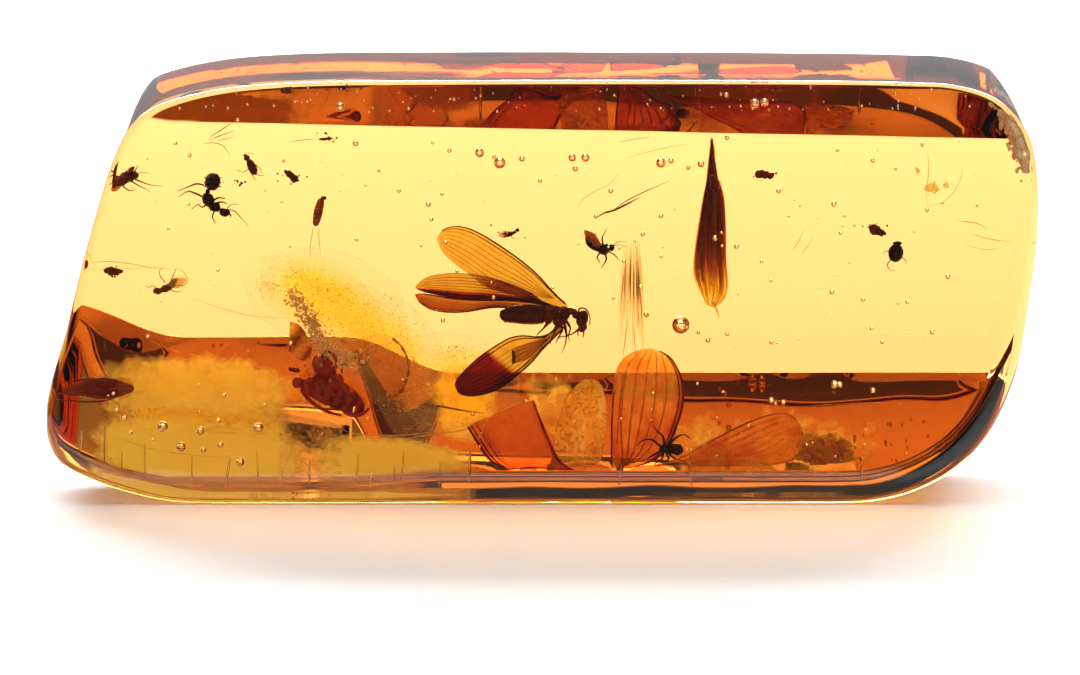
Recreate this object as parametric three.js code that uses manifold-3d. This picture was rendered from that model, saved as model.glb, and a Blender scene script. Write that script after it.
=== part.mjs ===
// Insect in amber: a polished block of amber with a winged termite and other finds sealed in it.
// Sizes are in millimetres. X runs along the block, Y goes in through its front face, Z is up.
// The origin is on the surface that the block stands on, under the middle of its box.
import * as THREE from "three";
import { ConvexGeometry } from "three/addons/geometries/ConvexGeometry.js";
import { mergeVertices } from "three/addons/utils/BufferGeometryUtils.js";
import Module from "manifold-3d";

const wasm = await Module();
wasm.setup();

// The block: a flat front face that leans back, and a rear face with a broad bevel above and below.
const FRONT = -8.83;
const REAR = 8.75;
const LEAN = THREE.MathUtils.degToRad(4.5);
const FRONT_EDGE = { top: 1.0, bottom: 1.0, side: 2.0 };
const REAR_BEVEL = {
  top: { rise: 5.0, run: 4.1, outer: 0.15, inner: 0.06 },
  bottom: { rise: 5.1, run: 6.15, outer: 0.03, inner: 0.06 },
  side: { rise: 2.2, run: 2.4, outer: 0.45, inner: 0.45 },
};
const EDGE_STEPS = 3;

// Towards its left end the lower rear bevel is larger.
const LEFT_BEVEL = { rise: 2.0, run: 2.4, from: -5, to: -13 };

// The block's outline seen from the front, clockwise from one end of its flat foot to the other.
const OUTLINE = [
  [-18.3, 0], [-20.4, 0.1], [-22.3, 0.45], [-24.8, 1.25], [-26.8, 2.4], [-27.5, 4.4],
  [-27.2, 6.4], [-26.25, 9.7], [-25.7, 12.1], [-24.7, 15.8], [-23.75, 18.8], [-22.75, 20.8],
  [-21.6, 21.75], [-20, 22.35], [-17.3, 22.9], [-13.4, 23.2], [-6, 23.3], [12, 23.3],
  [19.9, 23.2], [22.9, 23], [25.2, 22.15], [26.75, 20.3], [27.3, 17.5], [27.25, 14.5],
  [26.8, 11], [26.1, 7.2], [24.7, 4], [22.9, 2], [20.6, 0.7], [18.2, 0.1], [16, 0],
];
const OUTLINE_STEPS = 52;
const FOOT_STEPS = 6;
const SPINE = [new THREE.Vector2(-17, 11.2), new THREE.Vector2(17, 11.8)];

// The finds lie along one old surface of the resin, and the block is parted there.
const LAYER = { height: 1.3, wave: 0.12, phase: 0.4 };
const layer = (x) => LAYER.height * Math.sin(LAYER.wave * x + LAYER.phase);
const PARTING_GAP = 0.3;
const PARTING_STEP = 3;
const CLEARANCE = 0.3;
const REACH = 40;

const WING_THICK = 0.3;
const LEG = 0.09;
const FEELER = 0.07;

const vec = (a) => new THREE.Vector3(...a);
const rad = THREE.MathUtils.degToRad;

// Solids

function toSolid(geometry) {
  const bare = geometry.index ? geometry.toNonIndexed() : geometry.clone();
  bare.deleteAttribute("normal");
  bare.deleteAttribute("uv");
  const merged = mergeVertices(bare, 1e-4);
  return new wasm.Manifold(new wasm.Mesh({
    numProp: 3,
    vertProperties: new Float32Array(merged.attributes.position.array),
    triVerts: new Uint32Array(merged.index.array),
  }));
}

function toGeometry(solid) {
  const mesh = solid.getMesh();
  const geometry = new THREE.BufferGeometry();
  geometry.setAttribute("position", new THREE.BufferAttribute(mesh.vertProperties, 3));
  geometry.setIndex(new THREE.BufferAttribute(mesh.triVerts, 1));
  geometry.computeVertexNormals();
  return geometry;
}

const joined = (solids) => solids.reduce((sum, solid) => sum.add(solid));

// The largest of a solid's separate parts, without the crumbs that a cut leaves loose.
const largest = (solid) => solid.decompose().reduce((a, b) => (b.volume() > a.volume() ? b : a));

// Turns a shape drawn in XY to face the front, then by angle in the front plane from +X towards +Z.
function facing(at, angle = 0, tilt = 0, yaw = 0) {
  return new THREE.Matrix4()
    .makeTranslation(...at)
    .multiply(new THREE.Matrix4().makeRotationZ(rad(yaw)))
    .multiply(new THREE.Matrix4().makeRotationY(-rad(angle)))
    .multiply(new THREE.Matrix4().makeRotationX(rad(90 + tilt)));
}

// Moves a closed outline out by g, along the normal at each of its points.
function spread(points, g) {
  if (g === 0) return points;
  const turn = THREE.ShapeUtils.isClockWise(points) ? -1 : 1;
  return points.map((p, i) => {
    const before = points[(i + points.length - 1) % points.length];
    const after = points[(i + 1) % points.length];
    const a = p.clone().sub(before).normalize();
    const b = after.clone().sub(p).normalize();
    const out = new THREE.Vector2(a.y + b.y, -a.x - b.x).normalize();
    const mitre = Math.max(Math.abs(out.x * a.y - out.y * a.x), 0.5);
    return p.clone().addScaledVector(out, (turn * g) / mitre);
  });
}

function plate(points, thick, g, place) {
  const geometry = new THREE.ExtrudeGeometry(new THREE.Shape(spread(points, g)), {
    depth: thick + 2 * g,
    bevelEnabled: false,
  });
  geometry.translate(0, 0, -thick / 2 - g);
  geometry.applyMatrix4(place);
  return toSolid(geometry);
}

function blobGeometry(at, radii, g, { angle = 0, sides = 8, rows = 6 } = {}) {
  const geometry = new THREE.SphereGeometry(1, sides, rows);
  geometry.rotateZ(Math.PI / 2);
  geometry.scale(...radii.map((r) => r + g));
  geometry.rotateY(-rad(angle));
  geometry.translate(...at);
  return geometry;
}

const blob = (...values) => toSolid(blobGeometry(...values));

function limbGeometry(points, radius, g, { sides = 4, steps = points.length - 1 } = {}) {
  const path = points.map(vec);
  const first = path[0].clone().sub(path[1]).setLength(g);
  const last = path.at(-1).clone().sub(path.at(-2)).setLength(g);
  path[0].add(first);
  path.at(-1).add(last);
  const ring = Array.from({ length: sides }, (_, i) => {
    const turn = (i / sides) * 2 * Math.PI;
    return new THREE.Vector2(Math.cos(turn), Math.sin(turn)).multiplyScalar(radius + g);
  });
  return new THREE.ExtrudeGeometry(new THREE.Shape(ring), {
    steps,
    bevelEnabled: false,
    extrudePath: new THREE.CatmullRomCurve3(path),
  });
}

const limb = (...values) => toSolid(limbGeometry(...values));

// One convex solid round several shapes.
function hull(geometries) {
  const points = geometries.flatMap(({ attributes: { position } }) =>
    Array.from({ length: position.count }, (_, i) => new THREE.Vector3().fromBufferAttribute(position, i)));
  return toSolid(new ConvexGeometry(points));
}

// A wing's outline from its root at the origin to its tip along +X.
function wingOutline(length, width, root = 0.3) {
  const shape = new THREE.Shape();
  shape.moveTo(0, -root / 2);
  shape.bezierCurveTo(0.3 * length, -0.62 * width, 0.98 * length, -0.85 * width, length, -0.05 * width);
  shape.bezierCurveTo(1.0 * length, 0.5 * width, 0.72 * length, 0.62 * width, 0, root / 2);
  return shape.getPoints(6);
}

const polygon = (pairs) => pairs.map(([x, y]) => new THREE.Vector2(x, y));

// The block

const span = (edge, weights) =>
  edge.top * weights.top + edge.bottom * weights.bottom + edge.side * weights.side;

function outlinePoints() {
  const curve = new THREE.CatmullRomCurve3(
    OUTLINE.map(([x, z]) => new THREE.Vector3(x, z, 0)), false, "centripetal");
  const round = curve.getSpacedPoints(OUTLINE_STEPS).map((p) => new THREE.Vector2(p.x, Math.max(p.y, 0)));
  const [start, end] = [round[0], round.at(-1)];
  const foot = Array.from({ length: FOOT_STEPS - 1 }, (_, i) =>
    end.clone().lerp(start, (i + 1) / FOOT_STEPS));
  return [...round, ...foot];
}

function blockRings() {
  const outline = outlinePoints();
  const along = SPINE[1].clone().sub(SPINE[0]);
  const around = outline.map((p, i) => {
    const before = outline[(i + outline.length - 1) % outline.length];
    const after = outline[(i + 1) % outline.length];
    const run = after.clone().sub(before).normalize();
    const normal = new THREE.Vector2(-run.y, run.x);
    const side = normal.x ** 4;
    const weights = { top: normal.y > 0 ? 1 - side : 0, bottom: normal.y > 0 ? 0 : 1 - side, side };
    const share = THREE.MathUtils.clamp(p.clone().sub(SPINE[0]).dot(along) / along.lengthSq(), 0, 1);
    const inward = SPINE[0].clone().addScaledVector(along, share).sub(p).normalize();
    return { p, inward, weights };
  });
  const bevel = (key, w) => REAR_BEVEL.top[key] * w.top + REAR_BEVEL.bottom[key] * w.bottom
    + REAR_BEVEL.side[key] * w.side;
  const leftShare = (w, x) => w.bottom
    * THREE.MathUtils.smoothstep(LEFT_BEVEL.from - x, 0, LEFT_BEVEL.from - LEFT_BEVEL.to);
  const rise = (w, x) => bevel("rise", w) + LEFT_BEVEL.rise * leftShare(w, x);
  const run = (w, x) => bevel("run", w) + LEFT_BEVEL.run * leftShare(w, x);
  const ring = (insetAndDepth) => around.map(({ p, inward, weights }) => {
    const [inset, depth] = insetAndDepth(weights, p.x);
    const q = p.clone().addScaledVector(inward, inset);
    const lean = Math.tan(LEAN) * q.y * ((REAR - depth) / (REAR - FRONT));
    return [q.x, depth + lean, q.y];
  });
  const rings = [];
  for (let i = 0; i <= EDGE_STEPS; i += 1) {
    const turn = ((i / EDGE_STEPS) * Math.PI) / 2;
    rings.push(ring((w) => {
      const r = span(FRONT_EDGE, w);
      return [r * (1 - Math.sin(turn)), FRONT + r * (1 - Math.cos(turn))];
    }));
  }
  for (let i = 0; i <= EDGE_STEPS; i += 1) {
    const t = i / EDGE_STEPS;
    rings.push(ring((w, x) => {
      const outer = bevel("outer", w);
      return [t * t * outer * rise(w, x), REAR - run(w, x) * (1 - (t * t - (1 - t) ** 2) * outer)];
    }));
  }
  for (let i = 0; i <= EDGE_STEPS; i += 1) {
    const t = i / EDGE_STEPS;
    rings.push(ring((w, x) => {
      const inner = bevel("inner", w);
      const corner = 2 * t * (1 - t);
      const up = (1 - t) ** 2 * (1 - inner) + corner + t * t * (1 + inner);
      const back = (1 - t) ** 2 * (1 - inner) + corner + t * t;
      return [up * rise(w, x), REAR - run(w, x) * (1 - back)];
    }));
  }
  return rings;
}

function blockSolid() {
  const rings = blockRings();
  const count = rings[0].length;
  const index = [];
  for (let r = 0; r + 1 < rings.length; r += 1) {
    for (let i = 0; i < count; i += 1) {
      const j = (i + 1) % count;
      const [a, b, c, d] = [r * count + i, r * count + j, (r + 1) * count + j, (r + 1) * count + i];
      index.push(a, b, c, a, c, d);
    }
  }
  const last = (rings.length - 1) * count;
  const face = (ring) => THREE.ShapeUtils.triangulateShape(
    ring.map(([x, , z]) => new THREE.Vector2(x, z)), []);
  for (const [a, b, c] of face(rings[0])) index.push(a, b, c);
  for (const [a, b, c] of face(rings.at(-1))) index.push(last + a, last + c, last + b);
  const geometry = new THREE.BufferGeometry();
  geometry.setAttribute("position", new THREE.Float32BufferAttribute(rings.flat(2), 3));
  geometry.setIndex(index);
  return toSolid(geometry);
}

// All of the space on one side of the old surface: side is -1 for the front and 1 for the rear.
function sideOfLayer(side) {
  const shape = new THREE.Shape();
  shape.moveTo(-REACH, side * REACH);
  for (let x = -REACH; x <= REACH; x += PARTING_STEP) {
    shape.lineTo(x, layer(x) + (side * PARTING_GAP) / 2);
  }
  shape.lineTo(REACH, side * REACH);
  const geometry = new THREE.ExtrudeGeometry(shape, { depth: 2 * REACH, bevelEnabled: false });
  geometry.translate(0, 0, -REACH);
  return toSolid(geometry);
}

// The finds. Each function gives its solid in place, g larger all round for the pocket that holds it.

// A small animal: its pocket is one convex hollow round its body and limbs.
function creature(at, { body, limbs = [] }, g) {
  const shift = (p) => [p[0] + at[0], p[1] + at[1], p[2] + at[2]];
  const shapes = [
    ...body.map(([c, r, angle]) => blobGeometry(shift(c), r, g, { angle, sides: 7, rows: 5 })),
    ...limbs.map(([points, radius]) => limbGeometry(points.map(shift), radius ?? LEG, g)),
  ];
  return g > 0 ? hull(shapes) : joined(shapes.map(toSolid));
}

function termite(g) {
  const at = [0.7, layer(0.7), 9.6];
  const place = (p) => [p[0] + at[0], p[1] + at[1], p[2] + at[2]];
  const body = creature(at, {
    body: [
      [[-1.95, 0.1, -0.05], [1.2, 0.5, 0.55], 3],
      [[0, 0, 0], [0.9, 0.5, 0.47], 0],
      [[0.95, 0, -0.02], [0.36, 0.42, 0.38], 0],
      [[1.5, -0.05, -0.35], [0.4, 0.42, 0.5], -20],
    ],
    limbs: [
      [[[0.45, -0.2, -0.3], [0.6, -0.5, -1.4], [0.4, -0.6, -2.1]]],
      [[[0.1, -0.2, -0.3], [-0.5, -0.4, -0.75], [-1, -0.5, -1.05]]],
      [[[0.35, 0, -0.3], [0.1, 0.2, -1.1], [-0.15, 0.3, -1.5]]],
      [[[0.6, 0.1, -0.3], [1, 0.3, -1], [0.9, 0.4, -1.6]]],
      [[[0.7, -0.2, -0.2], [1.1, -0.7, -0.95], [1.5, -0.9, -1.35]]],
      [[[0.2, 0.2, -0.3], [-0.3, 0.7, -0.9], [-0.5, 0.8, -1.5]]],
      [[[1.55, -0.3, -0.1], [1.85, -0.5, 0.28], [2.05, -0.5, -0.3], [1.95, -0.5, -0.8]], FEELER],
      [[[1.5, 0.2, -0.6], [1, 0.2, -1.1], [0.4, 0.3, -1.3]], FEELER],
    ],
  }, g);
  const wings = [
    [[0.35, -0.15, 0.25], 150.1, -8, 2, 8.05, 2.3],
    [[0.3, 0.05, 0.2], 171.9, 52, -3, 8.25, 2.3],
    [[0.25, 0.2, 0.05], 175.2, -38, -5, 8.15, 1.7],
    [[0.1, -0.1, -0.15], 213.7, 12, 20, 7.3, 2.2],
  ].map(([root, angle, tilt, yaw, length, width]) =>
    plate(wingOutline(length, width), WING_THICK, g, facing(place(root), angle, tilt, yaw)));
  return joined([body, ...wings]);
}

function ant(g) {
  return creature([-18.1, layer(-18.1), 16.1], {
    body: [
      [[-0.2, 0, 1.0], [0.45, 0.42, 0.48], 0],
      [[-0.05, 0, 0.25], [0.26, 0.26, 0.5], 10],
      [[0.42, -0.05, -0.3], [0.3, 0.28, 0.28], -30],
    ],
    limbs: [
      [[[-0.1, 0, 0.2], [-1, -0.3, 0.5], [-1.8, -0.2, 0.95]]],
      [[[0, 0, 0.1], [-0.7, -0.3, -0.1], [-1.2, -0.2, 0.1]]],
      [[[0.1, 0, 0.1], [0.7, -0.3, 0.4], [1.1, -0.2, 0.2]]],
      [[[0.1, 0, 0], [0.2, 0.3, -0.5], [0, 0.4, -0.9]]],
    ],
  }, g);
}

function beetle(g) {
  return creature([-16.2, layer(-16.2), 18.1], {
    body: [[[0, 0, 0], [0.26, 0.26, 0.5], 20], [[-0.18, 0, 0.42], [0.18, 0.18, 0.18], 0]],
  }, g);
}

function edgeFly(g) {
  return creature([-22.6, layer(-22.6), 17.2], {
    body: [
      [[-0.45, 0, 0.05], [0.75, 0.4, 0.36], 12],
      [[0.4, 0, 0.2], [0.42, 0.36, 0.36], 0],
      [[0.85, 0, 0.2], [0.24, 0.24, 0.24], 0],
    ],
    limbs: [
      [[[0.4, 0, 0.1], [1.1, -0.2, -0.2], [2, -0.2, -0.1]]],
      [[[0.2, 0, 0], [0.7, -0.2, -0.6], [1.3, -0.2, -0.7]]],
      [[[0.6, 0, 0.3], [1.2, 0.2, 0.6], [1.9, 0.2, 0.5]]],
    ],
  }, g);
}

function midge(g) {
  return creature([-20.9, layer(-20.9), 11.4], {
    body: [
      [[0.1, 0, 0], [0.5, 0.26, 0.24], 20],
      [[-0.35, 0, -0.1], [0.22, 0.22, 0.22], 0],
    ],
    limbs: [
      [[[0, 0, 0], [-0.4, -0.2, -0.5], [-0.7, -0.2, -0.3]], FEELER],
      [[[0.1, 0, 0], [0.2, -0.2, 0.5], [-0.1, -0.2, 0.8]], FEELER],
      [[[0.2, 0, 0], [0.7, 0.2, -0.2], [1, 0.2, 0.2]], FEELER],
    ],
  }, g);
}

function gnat(g) {
  return creature([3.2, layer(3.2) - 0.5, 13.2], {
    body: [
      [[-0.5, 0, 0.35], [0.5, 0.28, 0.26], -45],
      [[0.15, 0, -0.02], [0.42, 0.36, 0.36], -20],
      [[0.62, 0, 0.02], [0.2, 0.2, 0.2], 0],
    ],
    limbs: [
      [[[0.1, 0, 0], [0, -0.2, 0.6], [0.1, -0.2, 0.9]], FEELER],
      [[[0.1, 0, 0], [0.1, -0.2, -0.6], [-0.1, -0.2, -1]], FEELER],
      [[[0.6, 0, 0], [1, -0.2, 0.25], [1.35, -0.2, 0.3]], FEELER],
    ],
  }, g);
}

function tinyGnat(g) {
  return creature([-1.9, layer(-1.9), 14.1], {
    body: [[[0, 0, 0], [0.45, 0.2, 0.17], 22], [[0.42, 0, 0.2], [0.15, 0.15, 0.15], 0]],
  }, g);
}

function larva(g) {
  return limb([[-12.4, layer(-12.4), 16.2], [-12.5, layer(-12.5), 15.4], [-12.8, layer(-12.8), 14.5]],
    0.27, g, { sides: 7, steps: 4 });
}

function seedHusk(g) {
  const outline = polygon([
    [-0.12, 7.2], [-0.28, 5.4], [-0.5, 4.2], [-0.82, 1.6], [-0.92, -0.4], [-0.8, -1.5], [-0.4, -2.4],
    [0.1, -2.3], [0.5, -3.0], [0.55, -2.0], [0.95, -1.6], [0.9, 0.5], [0.82, 3.8], [0.4, 4.6], [0.2, 5.4],
    [0.12, 7.2],
  ]);
  return plate(outline, 0.5, g, facing([9.35, layer(9.35), 12.0], 0, 0, 4));
}

function huskMite(g) {
  return creature([9.52, layer(9.52) - 0.9, 16.6], {
    body: [[[0, 0, 0], [0.22, 0.22, 0.5], -20]],
  }, g);
}

function ovalBeetle(g) {
  return creature([19.6, layer(19.6), 13.0], {
    body: [[[0, 0, 0], [0.42, 0.4, 0.58], 10], [[0.12, 0, 0.58], [0.22, 0.2, 0.14], 0]],
    limbs: [[[[0, 0, -0.4], [-0.4, -0.1, -0.8], [-0.05, -0.1, -1]], FEELER]],
  }, g);
}

function uprightWing(g) {
  const outline = polygon([
    [-1.9, -3.6], [-2.1, -1], [-2.05, 1.6], [-1.6, 3], [-0.7, 3.75], [0.3, 3.8], [1.1, 3.2], [1.6, 2.1],
    [1.85, 0.6], [1.75, -1], [1.1, -2.6], [0.2, -3.6],
  ]);
  return plate(outline, WING_THICK, g, facing([6, layer(6) - 0.5, 4.4], 0, 0, 6));
}

function lyingWing(g) {
  return plate(wingOutline(8.8, 3.1, 0.8), WING_THICK, g, facing([5.6, layer(9.5) + 0.35, 1.45], 15, 0, 3));
}

function bract(g) {
  const outline = polygon([
    [-3, 1.5], [-1, 2.25], [0.6, 2.8], [1.1, 1.4], [2, -0.4], [2.5, -1.3], [-1.2, -1.3], [-2, 0],
  ]);
  return plate(outline, WING_THICK, g, facing([-1.3, layer(-1.3) - 0.45, 2.1], 0, 0, 8));
}

function barkFlake(g) {
  const outline = polygon([
    [-1.2, 1.6], [-0.4, 2.7], [0.7, 2.8], [1.2, 2.0], [1.15, -0.6], [0.9, -2.4], [-0.5, -2.4],
    [-1.5, -1.2], [-1.5, 0.4],
  ]);
  return plate(outline, 0.4, g, facing([2.2, layer(2.2) + 0.5, 3.1], 0, 0, 6));
}

function budScale(g) {
  const round = new THREE.Shape().absellipse(0, 0, 1.8, 1.95, 0, 2 * Math.PI);
  return plate(round.getPoints(14).slice(0, 14), WING_THICK, g,
    facing([-9.2, layer(-9.2) + 0.55, 6.6], 0, 0, 7));
}

function pupa(g) {
  const y = layer(-11.5) - 0.75;
  return joined([
    blob([-11.9, y, 6.0], [1.45, 0.95, 0.85], g, { angle: -42 }),
    blob([-12.7, y, 7.0], [0.6, 0.55, 0.65], g, { angle: -42 }),
    blob([-10.7, y, 5.1], [0.75, 0.7, 0.5], g, { angle: -15 }),
    limb([[-12.4, y, 6.2], [-13.2, y - 0.3, 5.6], [-12.9, y - 0.4, 5.1]], 0.12, g),
    limb([[-11.9, y, 6.8], [-11.4, y - 0.3, 7.5], [-10.7, y - 0.3, 7.3]], 0.12, g),
  ]);
}

function spider(g) {
  return creature([7.1, layer(7.1) - 1.45, 2.5], {
    body: [
      [[0.35, 0, -0.05], [0.5, 0.42, 0.4], -10],
      [[-0.3, 0, -0.02], [0.34, 0.3, 0.28], 0],
    ],
    limbs: [
      [[[-0.3, 0, 0], [-0.9, -0.3, 0.5], [-1.5, -0.2, 0.2]]],
      [[[-0.3, 0, 0], [-0.9, -0.3, -0.3], [-1.3, -0.2, -0.7]]],
      [[[-0.2, 0, 0], [0, -0.4, 0.7], [-0.4, -0.4, 1]]],
      [[[0, 0, 0], [0.7, -0.4, 0.7], [1.1, -0.3, 0.45]]],
      [[[0, 0, 0], [0.5, -0.4, -0.6], [0.9, -0.3, -0.95]]],
      [[[-0.2, 0, 0], [-0.2, -0.4, -0.7], [-0.5, -0.3, -1.1]]],
    ],
  }, g);
}

function barkLump(g) {
  const at = [15.9, layer(15.9) - 0.6, 1.9];
  return joined([
    blob(at, [1.35, 0.95, 1.05], g),
    blob([at[0] - 0.7, at[1], at[2] + 0.35], [0.7, 0.7, 0.7], g, { sides: 7, rows: 5 }),
    blob([at[0] + 0.75, at[1], at[2] - 0.1], [0.7, 0.7, 0.65], g, { sides: 7, rows: 5 }),
  ]);
}

function fibreBundle(g) {
  const outline = polygon([
    [-0.35, 3.3], [-0.6, 0], [-0.7, -3.3], [-0.2, -3], [0, -3.4], [0.35, -2.9], [0.6, -3.3], [0.5, 0],
    [0.5, 3.3],
  ]);
  return plate(outline, 0.25, g, facing([4.85, layer(4.85) + 0.5, 10.5], 0, 0, 8));
}

function resinDrop(g) {
  const y = layer(-24.3);
  return joined([
    blob([-24.2, y, 5.8], [1.9, 0.7, 0.62], g, { angle: 8 }),
    blob([-23, y, 5.95], [0.9, 0.75, 0.78], g),
  ]);
}

// The group

function mesh(name, solid, color, { roughness = 0.5, opacity = 1 } = {}) {
  const material = new THREE.MeshStandardMaterial({ color, roughness, metalness: 0 });
  material.transparent = opacity < 1;
  material.opacity = opacity;
  const piece = new THREE.Mesh(toGeometry(solid), material);
  piece.name = name;
  return piece;
}

const finds = [
  ["termite", termite, 0x5a2408],
  ["ant", ant, 0x1c0d06],
  ["beetle", beetle, 0x3a1706],
  ["edge_fly", edgeFly, 0x3a1d08],
  ["midge", midge, 0x4a2808],
  ["gnat", gnat, 0x1e0f06],
  ["tiny_gnat", tinyGnat, 0x2a1a08],
  ["larva", larva, 0x8a5410],
  ["seed_husk", seedHusk, 0xa85c10],
  ["husk_mite", huskMite, 0x5a0e10],
  ["oval_beetle", ovalBeetle, 0x22060a],
  ["upright_wing", uprightWing, 0xb4560e],
  ["lying_wing", lyingWing, 0xa8500e],
  ["bract", bract, 0x8a2c0a],
  ["bark_flake", barkFlake, 0xc89a3c],
  ["bud_scale", budScale, 0xd09a2c],
  ["pupa", pupa, 0x7a2c08],
  ["spider", spider, 0x2a1408],
  ["bark_lump", barkLump, 0xd8b030],
  ["fibre_bundle", fibreBundle, 0xe8d48c],
  ["resin_drop", resinDrop, 0x9a4408],
];

const block = blockSolid();
const pockets = joined(finds.map(([, build]) => build(CLEARANCE)));
const amber = new THREE.Group();
for (const [name, side] of [["amber_front", -1], ["amber_back", 1]]) {
  const half = largest(block.intersect(sideOfLayer(side)).subtract(pockets));
  amber.add(mesh(name, half, 0xf0a418, { roughness: 0.05, opacity: 0.5 }));
}
for (const [name, build, color] of finds) amber.add(mesh(name, build(0), color));

export default amber;
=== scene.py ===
"""Insect in amber: the look of the block and of everything sealed in it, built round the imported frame."""

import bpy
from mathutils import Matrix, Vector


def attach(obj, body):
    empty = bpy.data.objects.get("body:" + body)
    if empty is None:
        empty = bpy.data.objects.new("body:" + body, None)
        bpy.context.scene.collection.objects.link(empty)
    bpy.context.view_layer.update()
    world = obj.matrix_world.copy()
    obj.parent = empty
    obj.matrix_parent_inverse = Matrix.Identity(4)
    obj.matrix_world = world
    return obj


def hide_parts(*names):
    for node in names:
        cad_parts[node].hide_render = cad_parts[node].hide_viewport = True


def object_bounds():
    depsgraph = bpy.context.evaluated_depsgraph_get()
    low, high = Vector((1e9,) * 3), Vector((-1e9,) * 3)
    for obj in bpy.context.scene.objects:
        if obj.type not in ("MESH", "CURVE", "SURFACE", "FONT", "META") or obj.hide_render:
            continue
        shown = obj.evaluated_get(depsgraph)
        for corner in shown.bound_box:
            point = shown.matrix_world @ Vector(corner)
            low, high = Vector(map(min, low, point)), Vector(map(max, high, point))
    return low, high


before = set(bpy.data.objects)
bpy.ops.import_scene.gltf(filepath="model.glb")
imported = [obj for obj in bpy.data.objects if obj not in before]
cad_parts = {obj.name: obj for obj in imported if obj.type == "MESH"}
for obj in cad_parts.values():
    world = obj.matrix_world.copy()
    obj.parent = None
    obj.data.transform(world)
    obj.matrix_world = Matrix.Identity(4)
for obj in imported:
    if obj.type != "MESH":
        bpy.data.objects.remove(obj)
cad_box = [list(corner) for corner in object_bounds()]

import math

import bmesh
import bpy
import numpy as np
from mathutils import Euler, Vector, noise

MM = 0.001

# The block, with the same named sizes as the solids. All lengths are in millimetres.
FRONT = -8.83
REAR = 8.75
LEAN = math.radians(4.5)
FRONT_EDGE = {"top": 0.35, "bottom": 0.45, "side": 0.6}
REAR_EDGE = 0.35
# The two ground facets behind: the height on the rear face at which each starts,
# and its slope in depth per height.
TOP_FACET = {"start": 18.8, "fall": 0.021, "slope": 0.82}
BOTTOM_FACET = {"start": 5.15, "slope": 1.206}
LEFT_MORE = {"start": 2.0, "from": -5.0, "to": -11.0, "end": 2.0, "end_from": -20.0, "end_to": -27.0}
OUTLINE = [
    (-18.3, 0), (-20.4, 0.1), (-22.3, 0.45), (-24.8, 1.25), (-26.8, 2.4), (-27.5, 4.4),
    (-27.2, 6.4), (-26.25, 9.7), (-25.7, 12.1), (-24.7, 15.8), (-23.75, 18.8), (-22.75, 20.8),
    (-21.6, 21.75), (-20, 22.35), (-17.3, 22.9), (-13.4, 23.2), (-6, 23.3), (12, 23.3),
    (19.9, 23.2), (22.9, 23), (25.2, 22.15), (26.75, 20.3), (27.3, 17.5), (27.25, 14.5),
    (26.8, 11), (26.1, 7.2), (24.7, 4), (22.9, 2), (20.6, 0.7), (18.2, 0.1), (16, 0),
]
SPINE_A = np.array([-17, 11.2])
SPINE_B = np.array([17, 11.8])
HALF = 190
# Rings of points on the front face, round its edge and round the rear edge, and the share of the way
# from the outline to the spine at which the innermost ring lies.
FACE_RINGS = 16
EDGE_RINGS = 10
REAR_RINGS = 7
INNERMOST = 0.96
# Rows of points on each facet and on the rear face between them, and half the width of a crease.
FACET_ROWS = 8
REAR_ROWS = 24
CREASE = 0.02
# The block's middle and half its length, depth and height: its faces wave away from the middle.
BLOCK_CENTRE = np.array([0, 0, 11.5])
BLOCK_HALVES = np.array([27, 8.8, 11.6])
WAVE_HEIGHT = 0.008
WAVE_LENGTH = 4.5
TOP_UNEVEN = 2.0

# The finds lie along one old surface of the resin.
LAYER_HEIGHT = 1.3
LAYER_WAVE = 0.12
LAYER_PHASE = 0.4

# Absorption of the amber per metre, for red, green and blue.
ABSORPTION = (14.0, 54.0, 126.0)
AMBER_IOR = 1.54
# What is sealed in amber has little gloss, because its index is close to that of the amber round it.
SEALED_IOR = 1.2

# How the photograph shows the block: pixels per millimetre on its front face, and the pixel of the origin.
PIXELS = 17.97
ORIGIN_X = 543
ORIGIN_Y = 500.5
SIGHT_DROP = 0.1246

SEED = 20
rng = np.random.default_rng(SEED)


def layer(x):
    return LAYER_HEIGHT * math.sin(LAYER_WAVE * x + LAYER_PHASE)


def seen(across, down, y):
    """The place at depth y that is seen at this point of the photograph through the amber."""
    height = (ORIGIN_Y - down) / PIXELS
    face = FRONT + math.tan(LEAN) * height
    return Vector(((across - ORIGIN_X) / PIXELS, y, height - SIGHT_DROP * (y - face)))


# Mesh tools


class Piece:
    """A mesh that grows by parts. tone is a value from 0 to 1 for each vertex that its material may read."""

    def __init__(self):
        self.verts = []
        self.faces = []
        self.slots = []
        self.tones = []

    def add(self, verts, faces, slot=0, tone=0.5):
        start = len(self.verts)
        self.verts.extend(tuple(v) for v in verts)
        self.faces.extend(tuple(start + i for i in face) for face in faces)
        self.slots.extend([slot] * len(faces))
        if np.isscalar(tone):
            tone = [tone] * len(verts)
        self.tones.extend(tone)

    def make(self, name, materials, slot, replaces=(), smooth=True, outward=True):
        mesh = bpy.data.meshes.new(name)
        mesh.from_pydata([(x * MM, y * MM, z * MM) for x, y, z in self.verts], [], self.faces)
        mesh.polygons.foreach_set("material_index", self.slots)
        mesh.polygons.foreach_set("use_smooth", [smooth] * len(self.faces))
        tone = mesh.attributes.new("tone", "FLOAT", "POINT")
        tone.data.foreach_set("value", self.tones)
        mesh.validate()
        shape = bmesh.new()
        shape.from_mesh(mesh)
        bmesh.ops.remove_doubles(shape, verts=shape.verts, dist=2e-7)
        bmesh.ops.dissolve_degenerate(shape, edges=shape.edges, dist=1e-7)
        if outward:
            bmesh.ops.recalc_face_normals(shape, faces=shape.faces)
        shape.to_mesh(mesh)
        shape.free()
        for material in materials:
            mesh.materials.append(material)
        piece = bpy.data.objects.new(name, mesh)
        bpy.context.scene.collection.objects.link(piece)
        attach(piece, "root")
        if replaces:
            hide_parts(*replaces)
        return piece


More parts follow.
